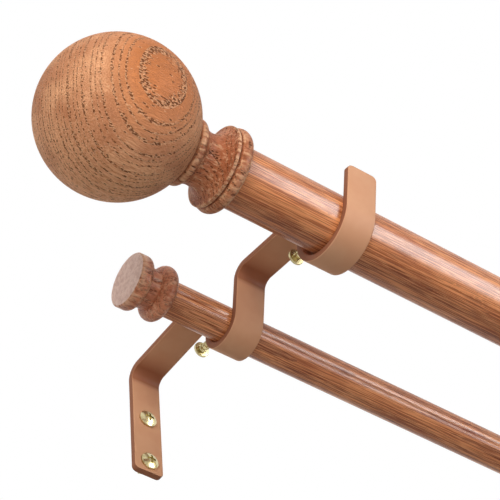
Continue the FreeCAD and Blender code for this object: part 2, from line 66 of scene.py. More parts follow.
# Sizes that more than one piece uses, in millimetres but for MM itself.
MM = 0.001
BRACKET_SPACING = 500.0
WALL_SCREW_SPACING = 27.0
STRIP_THICKNESS = 3.2
CONTACT_GAP = 0.05
SCREW_TIP_RADIUS = 1.0

# Kinds of node socket.
FLOAT = "NodeSocketFloat"
INTEGER = "NodeSocketInt"
VECTOR = "NodeSocketVector"
GEOMETRY = "NodeSocketGeometry"
MATERIAL = "NodeSocketMaterial"

Socket = bpy.types.NodeSocket
Tree = bpy.types.NodeTree
Outputs = bpy.types.NodeOutputs
Value = Union[Socket, float, int, bool, str, Sequence[float]]
Feeds = dict[Union[str, int], Value]
Inputs = dict[str, tuple[str, object]]
Colour = tuple[float, float, float, float]
Triple = tuple[float, float, float]
Station = tuple[float, float]


def linear(level: int) -> float:
    """One channel of a paint-chart colour as linear light."""
    share = level / 255
    return share / 12.92 if share <= 0.04045 else ((share + 0.055) / 1.055) ** 2.4


def tone(red: int, green: int, blue: int) -> Colour:
    """Turn a paint-chart colour, 0 to 255, into the linear colour that a shader takes."""
    return linear(red), linear(green), linear(blue), 1.0


class Side(Enum):
    """The two ends of the pole set, with the sign of X on each."""

    LEFT = -1
    RIGHT = 1

    @property
    def word(self) -> str:
        """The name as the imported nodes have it."""
        return self.name.lower()


class Rank(Enum):
    """The two poles."""

    FRONT = "front"
    BACK = "back"


class Slot(Enum):
    """Material slots of the record."""

    POLE_WOOD = "stained_wood"
    FINIAL_WOOD = "finial_wood"
    PAINT = "strip_paint"
    BRASS = "screw_brass"
    STEEL = "dowel_steel"


# Node trees: what adds nodes and joins them.


class Wiring:
    """Adds nodes to one tree and joins their sockets."""

    COLUMN = 190.0

    def __init__(self, tree: Tree) -> None:
        """Keep the tree that is worked on."""
        self.tree = tree

    def add(self, kind: str, feeds: Feeds | None = None, **settings: object) -> bpy.types.Node:
        """Add one node.

        Args:
            kind: the node's type name.
            feeds: input socket name or index, and the value or socket that feeds it.
            settings: properties of the node itself.

        Returns:
            The new node.
        """
        node = self.tree.nodes.new(kind)
        node.location = (self.COLUMN * len(self.tree.nodes), 0.0)
        for key, value in settings.items():
            setattr(node, key, value)
        self.connect(node, feeds or {})
        return node

    def connect(self, node: bpy.types.Node, feeds: Feeds) -> None:
        """Link inputs of a node to other sockets, or set their plain values.

        Args:
            node: the node that is fed.
            feeds: input socket name or index, and the value or socket that feeds it.
        """
        for key, value in feeds.items():
            if isinstance(value, Socket):
                self.tree.links.new(value, node.inputs[key])
            else:
                node.inputs[key].default_value = value

    def out(self, kind: str, feeds: Feeds | None = None, **settings: object) -> Socket:
        """Add one node and take its first output."""
        return self.add(kind, feeds, **settings).outputs[0]

    def given(self) -> Outputs:
        """The inputs of the tree's group."""
        return self.add("NodeGroupInput").outputs

    def group(self, tree: Tree, feeds: Feeds) -> Outputs:
        """Place a group in this tree and take its outputs."""
        kind = tree.bl_idname.replace("NodeTree", "NodeGroup")
        return self.add(kind, feeds, node_tree=tree).outputs

    def math(self, operation: str, first: Value, second: Value = 0.0) -> Socket:
        """Result of one arithmetic step."""
        return self.out("ShaderNodeMath", {0: first, 1: second}, operation=operation)

    def times(self, first: Value, second: Value) -> Socket:
        """Product of two values."""
        return self.math("MULTIPLY", first, second)

    def centred(self, noise: Socket) -> Socket:
        """Noise moved so that its middle lies at 0."""
        return self.math("SUBTRACT", noise, 0.5)

    def vector(self, operation: str, first: Value, second: Value) -> Socket:
        """Result of one vector step."""
        return self.out("ShaderNodeVectorMath", {0: first, 1: second}, operation=operation)

    def join(self, x: Value = 0.0, y: Value = 0.0, z: Value = 0.0) -> Socket:
        """Make a vector of three numbers."""
        return self.out("ShaderNodeCombineXYZ", {0: x, 1: y, 2: z})

    def split(self, vector: Value) -> Outputs:
        """The three numbers of a vector."""
        return self.add("ShaderNodeSeparateXYZ", {0: vector}).outputs

    def ramp(self, value: Value, low: Value, high: Value, bottom: float = 0.0, top: float = 1.0) -> Socket:
        """Ease a value from bottom at low to top at high, and hold it outside."""
        feeds = {"Value": value, "From Min": low, "From Max": high, "To Min": bottom, "To Max": top}
        return self.out("ShaderNodeMapRange", feeds, interpolation_type="SMOOTHSTEP")

    def mix(self, factor: Value, first: Value, second: Value, blend: str = "MIX") -> Socket:
        """Mix two colours."""
        feeds = {0: factor, 6: first, 7: second}
        return self.add("ShaderNodeMix", feeds, data_type="RGBA", blend_type=blend).outputs[2]

    def noise(self, place: Value, detail: float = 2.0, roughness: float = 0.5) -> Socket:
        """Noise from 0 to 1 with one wave per unit of place."""
        feeds = {"Vector": place, "Scale": 1.0, "Detail": detail, "Roughness": roughness}
        return self.out("ShaderNodeTexNoise", feeds)

    def read(self, name: str) -> Socket:
        """A number that the mesh keeps at each point or face, for a shader."""
        return self.add("ShaderNodeAttribute", attribute_name=name).outputs["Fac"]

    def relief(self, height: Socket, depth: float) -> Socket:
        """The normal of a surface that a height of 1 lifts by depth."""
        return self.out("ShaderNodeBump", {"Strength": 1.0, "Distance": depth, "Height": height})

    def named(self, name: str, kind: str = "FLOAT") -> Socket:
        """What the mesh keeps under that name, for a geometry tree."""
        return self.out("GeometryNodeInputNamedAttribute", {"Name": name}, data_type=kind)

    def store(self, geometry: Socket, name: str, value: Socket, domain: str = "POINT") -> Socket:
        """Keep a number in the mesh under that name."""
        feeds = {"Geometry": geometry, "Name": name, "Value": value}
        return self.out("GeometryNodeStoreNamedAttribute", feeds, data_type="FLOAT", domain=domain)


def new_group(name: str, kind: str, inputs: Inputs, outputs: dict[str, str]) -> Tree:
    """Make a node group with named sockets.

    Args:
        name: the group's name.
        kind: ShaderNodeTree or GeometryNodeTree.
        inputs: socket name to its type and default value, None where it has none.
        outputs: socket name to its type.

    Returns:
        The empty group.
    """
    tree = bpy.data.node_groups.new(name, kind)
    for label, (socket_type, default) in inputs.items():
        socket = tree.interface.new_socket(name=label, in_out="INPUT", socket_type=socket_type)
        if default is not None:
            socket.default_value = default
    for label, socket_type in outputs.items():
        tree.interface.new_socket(name=label, in_out="OUTPUT", socket_type=socket_type)
    return tree


# Shader groups that more than one material uses.


class WoodFigure:
    """Growth rings, open pores and fibres of a ring-porous hardwood, as a shader group.

    Place has the fibres along X and the middle of the tree on the X axis. Waves are
    counted for each metre, along the fibres and across them.
    """

    SIZES = {
        "Ring Spacing": 2.4 * MM, "Ring Wander": 4.0 * MM, "Band Share": 0.4, "Pore Length": 2.4 * MM,
        "Pore Width": 0.7 * MM, "Fibre Length": 6.0 * MM, "Fibre Width": 0.4 * MM, "Stray Pores": 0.03,
    }
    # The last mask is painted highlight around each pore.
    MASKS = ("Rings", "Pores", "Fibres", "Clouds", "Reach", "Rim Highlights")
    SLOW_WAVES = (9.0, 34.0, 34.0)
    FRAY_WAVES = (420.0, 1300.0, 1300.0)
    CLOUD_WAVES = (26.0, 60.0, 60.0)
    UNEVEN_RATE = 1.9
    UNEVEN_SHARE = 0.26
    FRAY_SHARE = 0.5
    BAND_BOW = 0.5
    BAND_PORES = 0.95
    PORE_EDGE = (0.34, 0.56)
    # Where the painted highlight around a pore begins and ends.
    RIM_INSIDE = (0.42, 0.56)
    RIM_OUTSIDE = (0.60, 0.86)

    def __init__(self) -> None:
        """Make the group and wire it up."""
        inputs: Inputs = {"Place": (VECTOR, None)}
        inputs.update({label: (FLOAT, size) for label, size in self.SIZES.items()})
        self.tree = new_group("wood_figure", "ShaderNodeTree", inputs, dict.fromkeys(self.MASKS, FLOAT))
        self.wire = Wiring(self.tree)
        self.given = self.wire.given()
        self.parts = self.wire.split(self.given["Place"])
        rings, reach = self.rings()
        pores, rim_highlights = self.pores(rings)
        fibres = self.wire.noise(self.counted("Fibre Length", "Fibre Width"), 3.0, 0.6)
        clouds = self.wire.noise(self.waves(self.CLOUD_WAVES), 3.0)
        made = (rings, pores, fibres, clouds, reach, rim_highlights)
        self.wire.add("NodeGroupOutput", dict(zip(self.MASKS, made)))

    def waves(self, rates: Triple) -> Socket:
        """Place counted in waves."""
        return self.wire.vector("MULTIPLY", self.given["Place"], rates)

    def counted(self, length: str, width: str) -> Socket:
        """Count place in lengths along the fibres and in widths across them.

        Args:
            length: name of the input that holds the length.
            width: name of the input that holds the width.

        Returns:
            The place.
        """
        sizes = [self.given[label] for label in (length, width, width)]
        counts = [self.wire.math("DIVIDE", part, size) for part, size in zip(self.parts, sizes)]
        return self.wire.join(*counts)

    def rings(self) -> tuple[Socket, Socket]:
        """Bands of early wood, which wander, vary in width and fray.

        Returns:
            The strength of the early wood, and how far a point lies from the tree's middle.
        """
        wire, given = self.wire, self.given
        wander = wire.times(wire.centred(wire.noise(self.waves(self.SLOW_WAVES))), given["Ring Wander"])
        across = wire.join(0.0, self.parts[1], self.parts[2])
        reach = wire.add("ShaderNodeVectorMath", {0: across}, operation="LENGTH").outputs["Value"]
        count = wire.math("DIVIDE", wire.math("ADD", reach, wander), given["Ring Spacing"])
        uneven = wire.times(wire.math("SINE", wire.times(count, self.UNEVEN_RATE)), self.UNEVEN_SHARE)
        phase = wire.math("FRACT", wire.math("ADD", count, uneven))
        fray = wire.times(wire.centred(wire.noise(self.waves(self.FRAY_WAVES))), self.FRAY_SHARE)
        band = wire.ramp(wire.math("ADD", phase, fray), given["Band Share"], 0.0)
        return wire.math("POWER", band, self.BAND_BOW), reach

    def pores(self, early: Socket) -> tuple[Socket, Socket]:
        """Dashes of open pores, most of them in the early wood, with painted highlight on the rims around
        them.

        Args:
            early: the strength of the early wood.

        Returns:
            The masks of the pores and of the painted highlight on their rims.
        """
        wire = self.wire
        feeds = {"Vector": self.counted("Pore Length", "Pore Width"), "Scale": 1.0, "Randomness": 1.0}
        cells = wire.add("ShaderNodeTexVoronoi", feeds).outputs
        lot = wire.split(cells["Color"])[0]
        expected = wire.math("ADD", wire.times(early, self.BAND_PORES), self.given["Stray Pores"])
        chosen = wire.math("GREATER_THAN", expected, lot)
        distance = cells["Distance"]
        # Painted highlight: a ring around each pore, standing in for the light on its raised edge.
        dash = wire.ramp(distance, *self.PORE_EDGE, 1.0, 0.0)
        beyond = wire.ramp(distance, *self.RIM_OUTSIDE)
        around = wire.math("SUBTRACT", wire.ramp(distance, *self.RIM_INSIDE), beyond)
        rim_highlights = wire.math("MAXIMUM", around, 0.0)
        return wire.times(dash, chosen), wire.times(rim_highlights, chosen)


def mottle_group() -> Tree:
    """Fine speckle and slow smudges, for turned wood, paint and metal.

    Returns:
        The shader group.
    """
    inputs: Inputs = {
        "Place": (VECTOR, None), "Speckle Size": (FLOAT, 0.6 * MM), "Smudge Size": (FLOAT, 20.0 * MM),
    }
    tree = new_group("mottle", "ShaderNodeTree", inputs, {"Speckle": FLOAT, "Smudge": FLOAT})
    wire = Wiring(tree)
    given = wire.given()
    made: Feeds = {}
    for label, detail, roughness in (("Speckle", 2.0, 0.6), ("Smudge", 3.0, 0.55)):
        rate = wire.math("DIVIDE", 1.0, given[f"{label} Size"])
        scaled = wire.out("ShaderNodeVectorMath", {0: given["Place"], "Scale": rate}, operation="SCALE")
        made[label] = wire.noise(scaled, detail, roughness)
    wire.add("NodeGroupOutput", made)
    return tree


# Finishes.


class FinishShop:
    """Keeps the shared shader groups and starts each material."""

    def __init__(self) -> None:
        """Build both groups once."""
        self.wood_figure = WoodFigure().tree
        self.mottle = mottle_group()

    @staticmethod
    def start(name: str) -> tuple[bpy.types.Material, Wiring, bpy.types.Node, Socket]:
        """Start a material.

        Args:
            name: the material's name.

        Returns:
            The material, its wiring, its shader node and the object's own coordinates.
        """
        material = bpy.data.materials.new(name)
        material.use_nodes = True
        material.node_tree.nodes.clear()
        wire = Wiring(material.node_tree)
        shader = wire.add("ShaderNodeBsdfPrincipled")
        wire.add("ShaderNodeOutputMaterial", {"Surface": shader.outputs[0]})
        place = wire.add("ShaderNodeTexCoord").outputs["Object"]
        return material, wire, shader, place


@dataclass(frozen=True)
class WoodFinish:
    """Stained and lacquered ring-porous wood.

    The mesh says where it is turned smooth, where it is sanded end grain, where its grooves are darker,
    with painted shade and some pooled stain, and where its crests are worn off. Pairs of numbers are the ends
    of an eased step.
    """

    slot: Slot
    pale: Colour
    deep: Colour
    pore: Colour
    blush: Colour
    outer: Colour
    # Pale colour of flecks and worn crests, and of the painted highlight around the pores.
    fleck: Colour
    outer_from: float = 0.070
    outer_full: float = 0.081
    ring_spacing: float = 2.1 * MM
    ring_wander: float = 2.6 * MM
    band_share: float = 0.45
    pore_length: float = 1.9 * MM
    pore_width: float = 0.62 * MM
    stray_pores: float = 0.03
    fibre_length: float = 6.0 * MM
    fibre_width: float = 0.4 * MM
    strand_blur: float = 0.1
    ring_strength: float = 0.4
    fibre_strength: float = 0.7
    pore_strength: float = 0.8
    rim_highlight_strength: float = 0.5
    stain_strength: float = 0.4
    relief: float = 0.42 * MM
    smooth_roughness: float = 0.5
    pore_roughness: float = 0.75
    specular: float = 0.12
    coat: float = 0.0
    coat_roughness: float = 0.2

    STRAND_MIDDLE = 0.52
    BLUSH_CLOUDS = (0.38, 0.66)
    SHADE_CLOUDS = (0.30, 0.72)
    SHADE = (1.08, 0.86)
    TURNED_TONE = tone(208, 171, 155)
    TURNED_SHARE = 0.8
    FLECK_SIZE = 1.8 * MM
    FLECK_DRAW = (0.3, 1.0, 1.0)
    FLECK_SHARE = 0.4
    LIGHT_FLECKS = (0.52, 0.68)
    DARK_FLECKS = (0.47, 0.30)
    DUST = (tone(228, 182, 162), tone(252, 214, 196))
    DUST_FLECKS = (0.30, 0.70)
    CREST = (-0.2, -0.9)
    CREST_SHARE = 0.6
    CREST_FLECKS = (0.36, 0.60)
    # Grooves are darkened over this step: painted shade, with some stain pooled there.
    GROOVE = (0.1, 0.9)
    STRAND_DULLNESS = 0.35
    TURNED_POLISH = 0.6
    DULLNESS = (-0.6, 1.2)
    POLISH_GAIN = 0.14
    LUMP_HEIGHT = 1.6
    STRAND_HEIGHT = 0.3

    def material(self, shop: FinishShop, name: str, pith: Vector, turn: float = 0.0) -> bpy.types.Material:
        """Build the material of one piece.

        Args:
            shop: keeps the shared groups.
            name: the material's name.
            pith: a point on the line that was the middle of the tree.
            turn: how far the fibres turn off the pole's line, in radians.

        Returns:
            The finished material.
        """
        made, wire, shader, place = shop.start(name)
        centred = wire.vector("SUBTRACT", place, tuple(pith))
        laid = wire.out("ShaderNodeMapping", {"Vector": centred, "Rotation": (0.0, 0.0, turn)})
        figure = wire.group(shop.wood_figure, {
            "Place": laid, "Ring Spacing": self.ring_spacing, "Ring Wander": self.ring_wander,
            "Band Share": self.band_share, "Pore Length": self.pore_length, "Pore Width": self.pore_width,
            "Fibre Length": self.fibre_length, "Fibre Width": self.fibre_width,
            "Stray Pores": self.stray_pores})
        drawn = wire.vector("MULTIPLY", place, self.FLECK_DRAW)
        speckle = wire.group(shop.mottle, {"Place": drawn, "Speckle Size": self.FLECK_SIZE})["Speckle"]
        strand_ends = (self.STRAND_MIDDLE - self.strand_blur, self.STRAND_MIDDLE + self.strand_blur)
        strands = wire.ramp(figure["Fibres"], *strand_ends)
        turned = wire.read("turned")
        grained = self.grained(wire, figure, strands)
        wire.connect(shader, {
            "Base Color": self.worked(wire, grained, speckle, turned),
            "Roughness": self.gloss(wire, figure["Pores"], strands, turned),
            "Normal": wire.relief(self.height(wire, figure["Pores"], strands, speckle, turned), self.relief),
            "Specular IOR Level": self.specular, "Coat Weight": self.coat,
            "Coat Roughness": self.coat_roughness})
        return made

    def grained(self, wire: Wiring, figure: Outputs, strands: Socket) -> Socket:
        """Colour of the plain wood.

        Args:
            wire: wiring of the material.
            figure: masks of the rings, pores and clouds.
            strands: mask of the dark fibres.

        Returns:
            The ground with its fibres, rings and pores, and painted highlight around the pores.
        """
        share = wire.math("ADD", wire.times(figure["Rings"], self.ring_strength),
                          wire.times(strands, self.fibre_strength))
        inner = wire.mix(wire.ramp(figure["Clouds"], *self.BLUSH_CLOUDS), self.pale, self.blush)
        ground = wire.mix(wire.ramp(figure["Reach"], self.outer_from, self.outer_full), inner, self.outer)
        body = wire.mix(wire.out("ShaderNodeClamp", {0: share}), ground, self.deep)
        level = wire.ramp(figure["Clouds"], *self.SHADE_CLOUDS, *self.SHADE)
        grey = wire.out("ShaderNodeCombineColor", {0: level, 1: level, 2: level})
        shaded = wire.mix(1.0, body, grey, "MULTIPLY")
        # Painted highlight around the pores.
        rim_highlighted = wire.mix(wire.times(figure["Rim Highlights"], self.rim_highlight_strength), shaded, self.fleck)
        return wire.mix(wire.times(figure["Pores"], self.pore_strength), rim_highlighted, self.pore)

    def worked(self, wire: Wiring, grained: Socket, speckle: Socket, turned: Socket) -> Socket:
        """Colour of the wood once it has been turned, sanded and stained, with painted shade in the grooves.

        Args:
            wire: wiring of the material.
            grained: colour of the plain wood.
            speckle: fine noise, drawn out along the piece.
            turned: how far the surface is a turned moulding.

        Returns:
            The colour of the finished surface.
        """
        toned = wire.mix(wire.times(turned, self.TURNED_SHARE), grained, self.TURNED_TONE, "MULTIPLY")
        light = wire.times(wire.ramp(speckle, *self.LIGHT_FLECKS, 0.0, self.FLECK_SHARE), turned)
        dark = wire.times(wire.ramp(speckle, *self.DARK_FLECKS, 0.0, self.FLECK_SHARE), turned)
        flecked = wire.mix(dark, wire.mix(light, toned, self.fleck), self.pore)
        sanded = wire.read("sanded")
        faced = wire.mix(sanded, flecked, wire.mix(wire.ramp(speckle, *self.DUST_FLECKS), *self.DUST))
        # How deep each point lies in a hollow: grooves get painted shade with some pooled stain, and crests
        # wear paler.
        shade_in_hollows = wire.read("stain")
        crest = wire.times(wire.ramp(shade_in_hollows, *self.CREST, 0.0, self.CREST_SHARE),
                           wire.ramp(speckle, *self.CREST_FLECKS))
        worn = wire.mix(wire.times(crest, wire.math("SUBTRACT", 1.0, sanded)), faced, self.fleck)
        # Painted shade in the grooves, with some stain pooled there.
        return wire.mix(wire.ramp(shade_in_hollows, *self.GROOVE, 0.0, self.stain_strength), worn, self.pore)

    def gloss(self, wire: Wiring, pores: Socket, strands: Socket, turned: Socket) -> Socket:
        """Roughness: open grain is dull, and a turned moulding is polished.

        Args:
            wire: wiring of the material.
            pores: mask of the open pores.
            strands: mask of the dark fibres.
            turned: how far the surface is a turned moulding.

        Returns:
            The roughness.
        """
        grain = wire.math("ADD", pores, wire.times(strands, self.STRAND_DULLNESS))
        dull = wire.math("SUBTRACT", grain, wire.times(turned, self.TURNED_POLISH))
        return wire.ramp(dull, *self.DULLNESS, self.smooth_roughness - self.POLISH_GAIN, self.pore_roughness)

    def height(self, wire: Wiring, pores: Socket, strands: Socket, speckle: Socket, turned: Socket) -> Socket:
        """Relief: pores are sunk, pale fibres stand a little high, and a turned moulding is lumpy.

        Args:
            wire: wiring of the material.
            pores: mask of the open pores.
            strands: mask of the dark fibres.
            speckle: fine noise, drawn out along the piece.
            turned: how far the surface is a turned moulding.

        Returns:
            The height.
        """
        lumps = wire.times(wire.times(speckle, turned), self.LUMP_HEIGHT)
        fibres = wire.times(wire.math("SUBTRACT", 1.0, strands), self.STRAND_HEIGHT)
        return wire.math("SUBTRACT", wire.math("ADD", lumps, fibres), pores)


@dataclass(frozen=True)
class PaintFinish:
    """Satin paint baked on flat steel, with painted shade in the nooks of tight bends and on the cut sides.
    """

    slot: Slot
    colour: Colour
    warm: Colour
    # Colour of the painted shade on the strip's cut sides.
    side_shade: Colour
    # Colour of the painted shade in the nooks of tight bends.
    shade_in_hollows: Colour
    roughness: float = 0.5
    specular: float = 0.07
    relief: float = 0.02 * MM
    speckle_size: float = 0.8 * MM
    smudge_size: float = 18.0 * MM

    WARM_SMUDGES = (0.35, 0.65)
    DULL_SPECKLES = (0.3, 0.7)
    ROUGHNESS_BELOW = 0.04
    ROUGHNESS_ABOVE = 0.06

    def material(self, shop: FinishShop, name: str) -> bpy.types.Material:
        """Build the paint, with a slight orange peel and uneven tone.

        Args:
            shop: keeps the shared groups.
            name: the material's name.

        Returns:
            The finished material.
        """
        made, wire, shader, place = shop.start(name)
        mottle = wire.group(shop.mottle, {
            "Place": place, "Speckle Size": self.speckle_size, "Smudge Size": self.smudge_size})
        plain = wire.mix(wire.ramp(mottle["Smudge"], *self.WARM_SMUDGES), self.colour, self.warm)
        # Painted shade: darker in the nooks of tight bends.
        shaded_nooks = wire.mix(wire.read("nook_shade"), plain, self.shade_in_hollows)
        dullness = (self.roughness - self.ROUGHNESS_BELOW, self.roughness + self.ROUGHNESS_ABOVE)
        wire.connect(shader, {
            # Painted shade: the strip's cut sides are darker.
            "Base Color": wire.mix(wire.read("side"), shaded_nooks, self.side_shade),
            "Roughness": wire.ramp(mottle["Speckle"], *self.DULL_SPECKLES, *dullness),
            "Normal": wire.relief(mottle["Speckle"], self.relief), "Specular IOR Level": self.specular})
        return made


@dataclass(frozen=True)
class MetalFinish:
    """Bare or plated metal of a screw."""

    slot: Slot
    bright: Colour
    dull: Colour
    polish: float = 0.2
    relief: float = 0.006 * MM
    speckle_size: float = 0.3 * MM
    smudge_size: float = 2.5 * MM

    TARNISH = (0.42, 0.72)
    DULL_SMUDGES = (0.3, 0.7)
    POLISH_LOSS = 0.14

    def material(self, shop: FinishShop, name: str) -> bpy.types.Material:
        """Build the metal, a little tarnished in patches.

        Args:
            shop: keeps the shared groups.
            name: the material's name.

        Returns:
            The finished material.
        """
        made, wire, shader, place = shop.start(name)
        mottle = wire.group(shop.mottle, {
            "Place": place, "Speckle Size": self.speckle_size, "Smudge Size": self.smudge_size})
        smudge = mottle["Smudge"]
        wire.connect(shader, {
            "Base Color": wire.mix(wire.ramp(smudge, *self.TARNISH), self.bright, self.dull),
            "Roughness": wire.ramp(smudge, *self.DULL_SMUDGES, self.polish, self.polish + self.POLISH_LOSS),
            "Normal": wire.relief(mottle["Speckle"], self.relief), "Metallic": 1.0})
        return made


POLE_WOOD = WoodFinish(
    Slot.POLE_WOOD, pale=tone(224, 150, 98), deep=tone(142, 66, 32), pore=tone(94, 36, 12),
    blush=tone(214, 134, 84), outer=tone(218, 140, 86), fleck=tone(240, 180, 130),
    ring_spacing=2.6 * MM, ring_wander=3.0 * MM, band_share=0.75, pore_length=14.0 * MM, pore_width=0.3 * MM,
    fibre_length=34.0 * MM, fibre_width=0.42 * MM, strand_blur=0.05, ring_strength=0.3, fibre_strength=0.8,
    pore_strength=0.6, rim_highlight_strength=0.25, stray_pores=0.12, relief=0.03 * MM, smooth_roughness=0.42,
    pore_roughness=0.46, specular=0.06, coat=0.42, coat_roughness=0.25,
)
FINIAL_WOOD = WoodFinish(
    Slot.FINIAL_WOOD, pale=tone(234, 174, 130), deep=tone(196, 124, 80), pore=tone(98, 54, 28),
    blush=tone(216, 146, 104), outer=tone(200, 120, 66), fleck=tone(240, 192, 148),
    band_share=0.34, smooth_roughness=0.55, pore_roughness=0.8,
)
CAP_WOOD = replace(
    FINIAL_WOOD, pale=tone(244, 170, 126), deep=tone(200, 120, 82), blush=tone(228, 148, 108),
    outer=tone(220, 138, 94), fleck=tone(250, 200, 160), pore_strength=0.5, stain_strength=0.08,
    smooth_roughness=0.44, specular=0.15, coat=0.1, coat_roughness=0.22,
)
# The last two colours are painted shade, on the cut sides and in the nooks of tight bends.
STRIP_PAINT = PaintFinish(
    Slot.PAINT, colour=tone(212, 159, 123), warm=tone(207, 151, 115), side_shade=tone(150, 98, 72),
    shade_in_hollows=tone(168, 108, 78),
)
SCREW_BRASS = MetalFinish(Slot.BRASS, bright=tone(216, 204, 160), dull=tone(168, 154, 104), polish=0.22)
DOWEL_STEEL = MetalFinish(Slot.STEEL, bright=tone(190, 190, 192), dull=tone(130, 130, 134), polish=0.3)


# Geometry trees.


TURNING_ATTRIBUTES = ("stain", "turned", "sanded")
DRILL_SIDES = 48
DRILL_REACH = 3.0
CORNER_POINTS = 5
# Faces this far off the strip's flat sides count as cut sides, which get painted shade.
CUT_SIDE = 0.6
THREAD_POINTS = 24
THREAD_SIDES = 4


class ShapeWiring(Wiring):
    """Wiring of the geometry tree of one piece."""

    CREASE = math.radians(35)

    def __init__(self, name: str, source: str, sizes: Inputs) -> None:
        """Start the tree.

        Args:
            name: the tree's name.
            source: what the object's own mesh is to the tree.
            sizes: the tree's own inputs, with type and default value.
        """
        inputs: Inputs = {source: (GEOMETRY, None), **sizes, "Crease": (FLOAT, self.CREASE),
                          "Finish": (MATERIAL, None)}
        super().__init__(new_group(name, "GeometryNodeTree", inputs, {"Mesh": GEOMETRY}))
        self.inputs = self.given()

    def above(self, first: Socket, second: Value) -> Socket:
        """Whether the first number is greater."""
        feeds = {0: first, 1: second}
        return self.out("FunctionNodeCompare", feeds, data_type="FLOAT", operation="GREATER_THAN")

    def part(self, geometry: Socket) -> tuple[Socket, Socket]:
        """Part the loose marks from the line in one mesh.

        Args:
            geometry: a line with marks, which have the attribute mark at 1.

        Returns:
            The marks and the line.
        """
        feeds = {"Geometry": geometry, "Selection": self.above(self.named("mark"), 0.5)}
        parted = self.add("GeometryNodeSeparateGeometry", feeds, domain="POINT")
        return parted.outputs["Selection"], parted.outputs["Inverted"]

    def move(self, geometry: Socket, shift: Socket) -> Socket:
        """Move what has been built."""
        return self.out("GeometryNodeTransform", {"Geometry": geometry, "Translation": shift})

    def lay(self, geometry: Socket, start: Value = 0.0) -> Socket:
        """Turn what stands along Z to point along X, and move it to its start there."""
        feeds = {"Geometry": geometry, "Translation": self.join(start), "Rotation": (0.0, math.pi / 2, 0.0)}
        return self.out("GeometryNodeTransform", feeds)

    def sweep(self, curve: Socket, section: Socket) -> Socket:
        """Sweep a section along a curve, closed at its ends."""
        feeds = {"Curve": curve, "Profile Curve": section, "Fill Caps": True}
        return self.out("GeometryNodeCurveToMesh", feeds)

    def carve(self, body: Socket, tool: Socket) -> Socket:
        """Take the tool out of the body."""
        feeds = {"Mesh 1": body, "Mesh 2": tool}
        return self.out("GeometryNodeMeshBoolean", feeds, operation="DIFFERENCE", solver="EXACT")

    def aim(self, marks: Socket, thing: Socket, scale: Value) -> Socket:
        """Put a copy of a thing at each mark, turned along the mark's aim.

        Args:
            marks: loose points with the attribute aim.
            thing: what is copied. It points along X.
            scale: its size along its own axes.

        Returns:
            The copies, as instances.
        """
        axes = {"Primary Axis": self.named("aim", "FLOAT_VECTOR"), "Secondary Axis": (1.0, 0.0, 0.0)}
        turn = self.out("FunctionNodeAxesToRotation", axes, primary_axis="X", secondary_axis="Y")
        feeds = {"Points": marks, "Instance": thing, "Rotation": turn, "Scale": scale}
        return self.out("GeometryNodeInstanceOnPoints", feeds)

    def realize(self, geometry: Socket) -> Socket:
        """Turn instances into real mesh."""
        return self.out("GeometryNodeRealizeInstances", {"Geometry": geometry})

    def shade(self, mesh: Socket, chosen: Value, smooth: bool, domain: str) -> Socket:
        """Shade the chosen faces or edges smooth or sharp."""
        feeds = {"Geometry": mesh, "Selection": chosen, "Shade Smooth": smooth}
        return self.out("GeometryNodeSetShadeSmooth", feeds, domain=domain)

    def finish_off(self, mesh: Socket) -> Tree:
        """End the tree: smooth faces with creases, real mesh and the finish.

        Args:
            mesh: what has been built.

        Returns:
            The finished tree.
        """
        smooth = self.shade(self.realize(mesh), True, True, "FACE")
        angle = self.add("GeometryNodeInputMeshEdgeAngle").outputs["Unsigned Angle"]
        creased = self.shade(smooth, self.above(angle, self.inputs["Crease"]), False, "EDGE")
        feeds = {"Geometry": creased, "Material": self.inputs["Finish"]}
        self.add("NodeGroupOutput", {"Mesh": self.out("GeometryNodeSetMaterial", feeds)})
        return self.tree


def turning_group() -> Tree:
    """Turn an outline about the X axis: the outline's points are (x, radius, 0), in order.

    Returns:
        The geometry group.
    """
    inputs: Inputs = {"Outline": (GEOMETRY, None), "Segments": (INTEGER, 96)}
    tree = new_group("turning", "GeometryNodeTree", inputs, {"Mesh": GEOMETRY})
    wire = Wiring(tree)
    given = wire.given()
    outline = given["Outline"]
    rows = wire.add("GeometryNodeAttributeDomainSize", {0: outline}, component="MESH").outputs["Point Count"]
    columns = wire.math("ADD", given["Segments"], 1.0)
    grid = wire.out("GeometryNodeMeshGrid", {"Vertices X": columns, "Vertices Y": rows})
    index = wire.out("GeometryNodeInputIndex")
    column = wire.math("FLOOR", wire.math("DIVIDE", wire.math("ADD", index, 0.5), rows))
    row = wire.math("SUBTRACT", index, wire.times(column, rows))

    def sampled(value: Socket, kind: str) -> Socket:
        """What the outline has at this row's point."""
        feeds = {"Geometry": outline, "Value": value, "Index": row}
        return wire.out("GeometryNodeSampleIndex", feeds, data_type=kind, domain="POINT")

    corner = wire.split(sampled(wire.out("GeometryNodeInputPosition"), "FLOAT_VECTOR"))
    angle = wire.math("DIVIDE", wire.times(column, math.tau), given["Segments"])
    sideways = wire.times(corner[1], wire.math("COSINE", angle))
    upwards = wire.times(corner[1], wire.math("SINE", angle))
    place = wire.join(corner[0], sideways, upwards)
    turned = wire.out("GeometryNodeSetPosition", {"Geometry": grid, "Position": place})
    for label in TURNING_ATTRIBUTES:
        turned = wire.store(turned, label, sampled(wire.named(label), "FLOAT"))
    merged = wire.out("GeometryNodeMergeByDistance", {"Geometry": turned, "Distance": 1e-6})
    wire.add("NodeGroupOutput", {"Mesh": merged})
    return tree


def turned_piece_tree(turning: Tree) -> Tree:
    """A turned piece, from the outline in the object's own mesh to its seat on the pole's axis.

    Args:
        turning: the group that turns an outline.

    Returns:
        The geometry tree.
    """
    wire = ShapeWiring("turned_piece", "Outline", {"Segments": (INTEGER, 96), "Seat": (VECTOR, None)})
    given = wire.inputs
    turned = wire.group(turning, {"Outline": given["Outline"], "Segments": given["Segments"]})[0]
    return wire.finish_off(wire.move(turned, given["Seat"]))


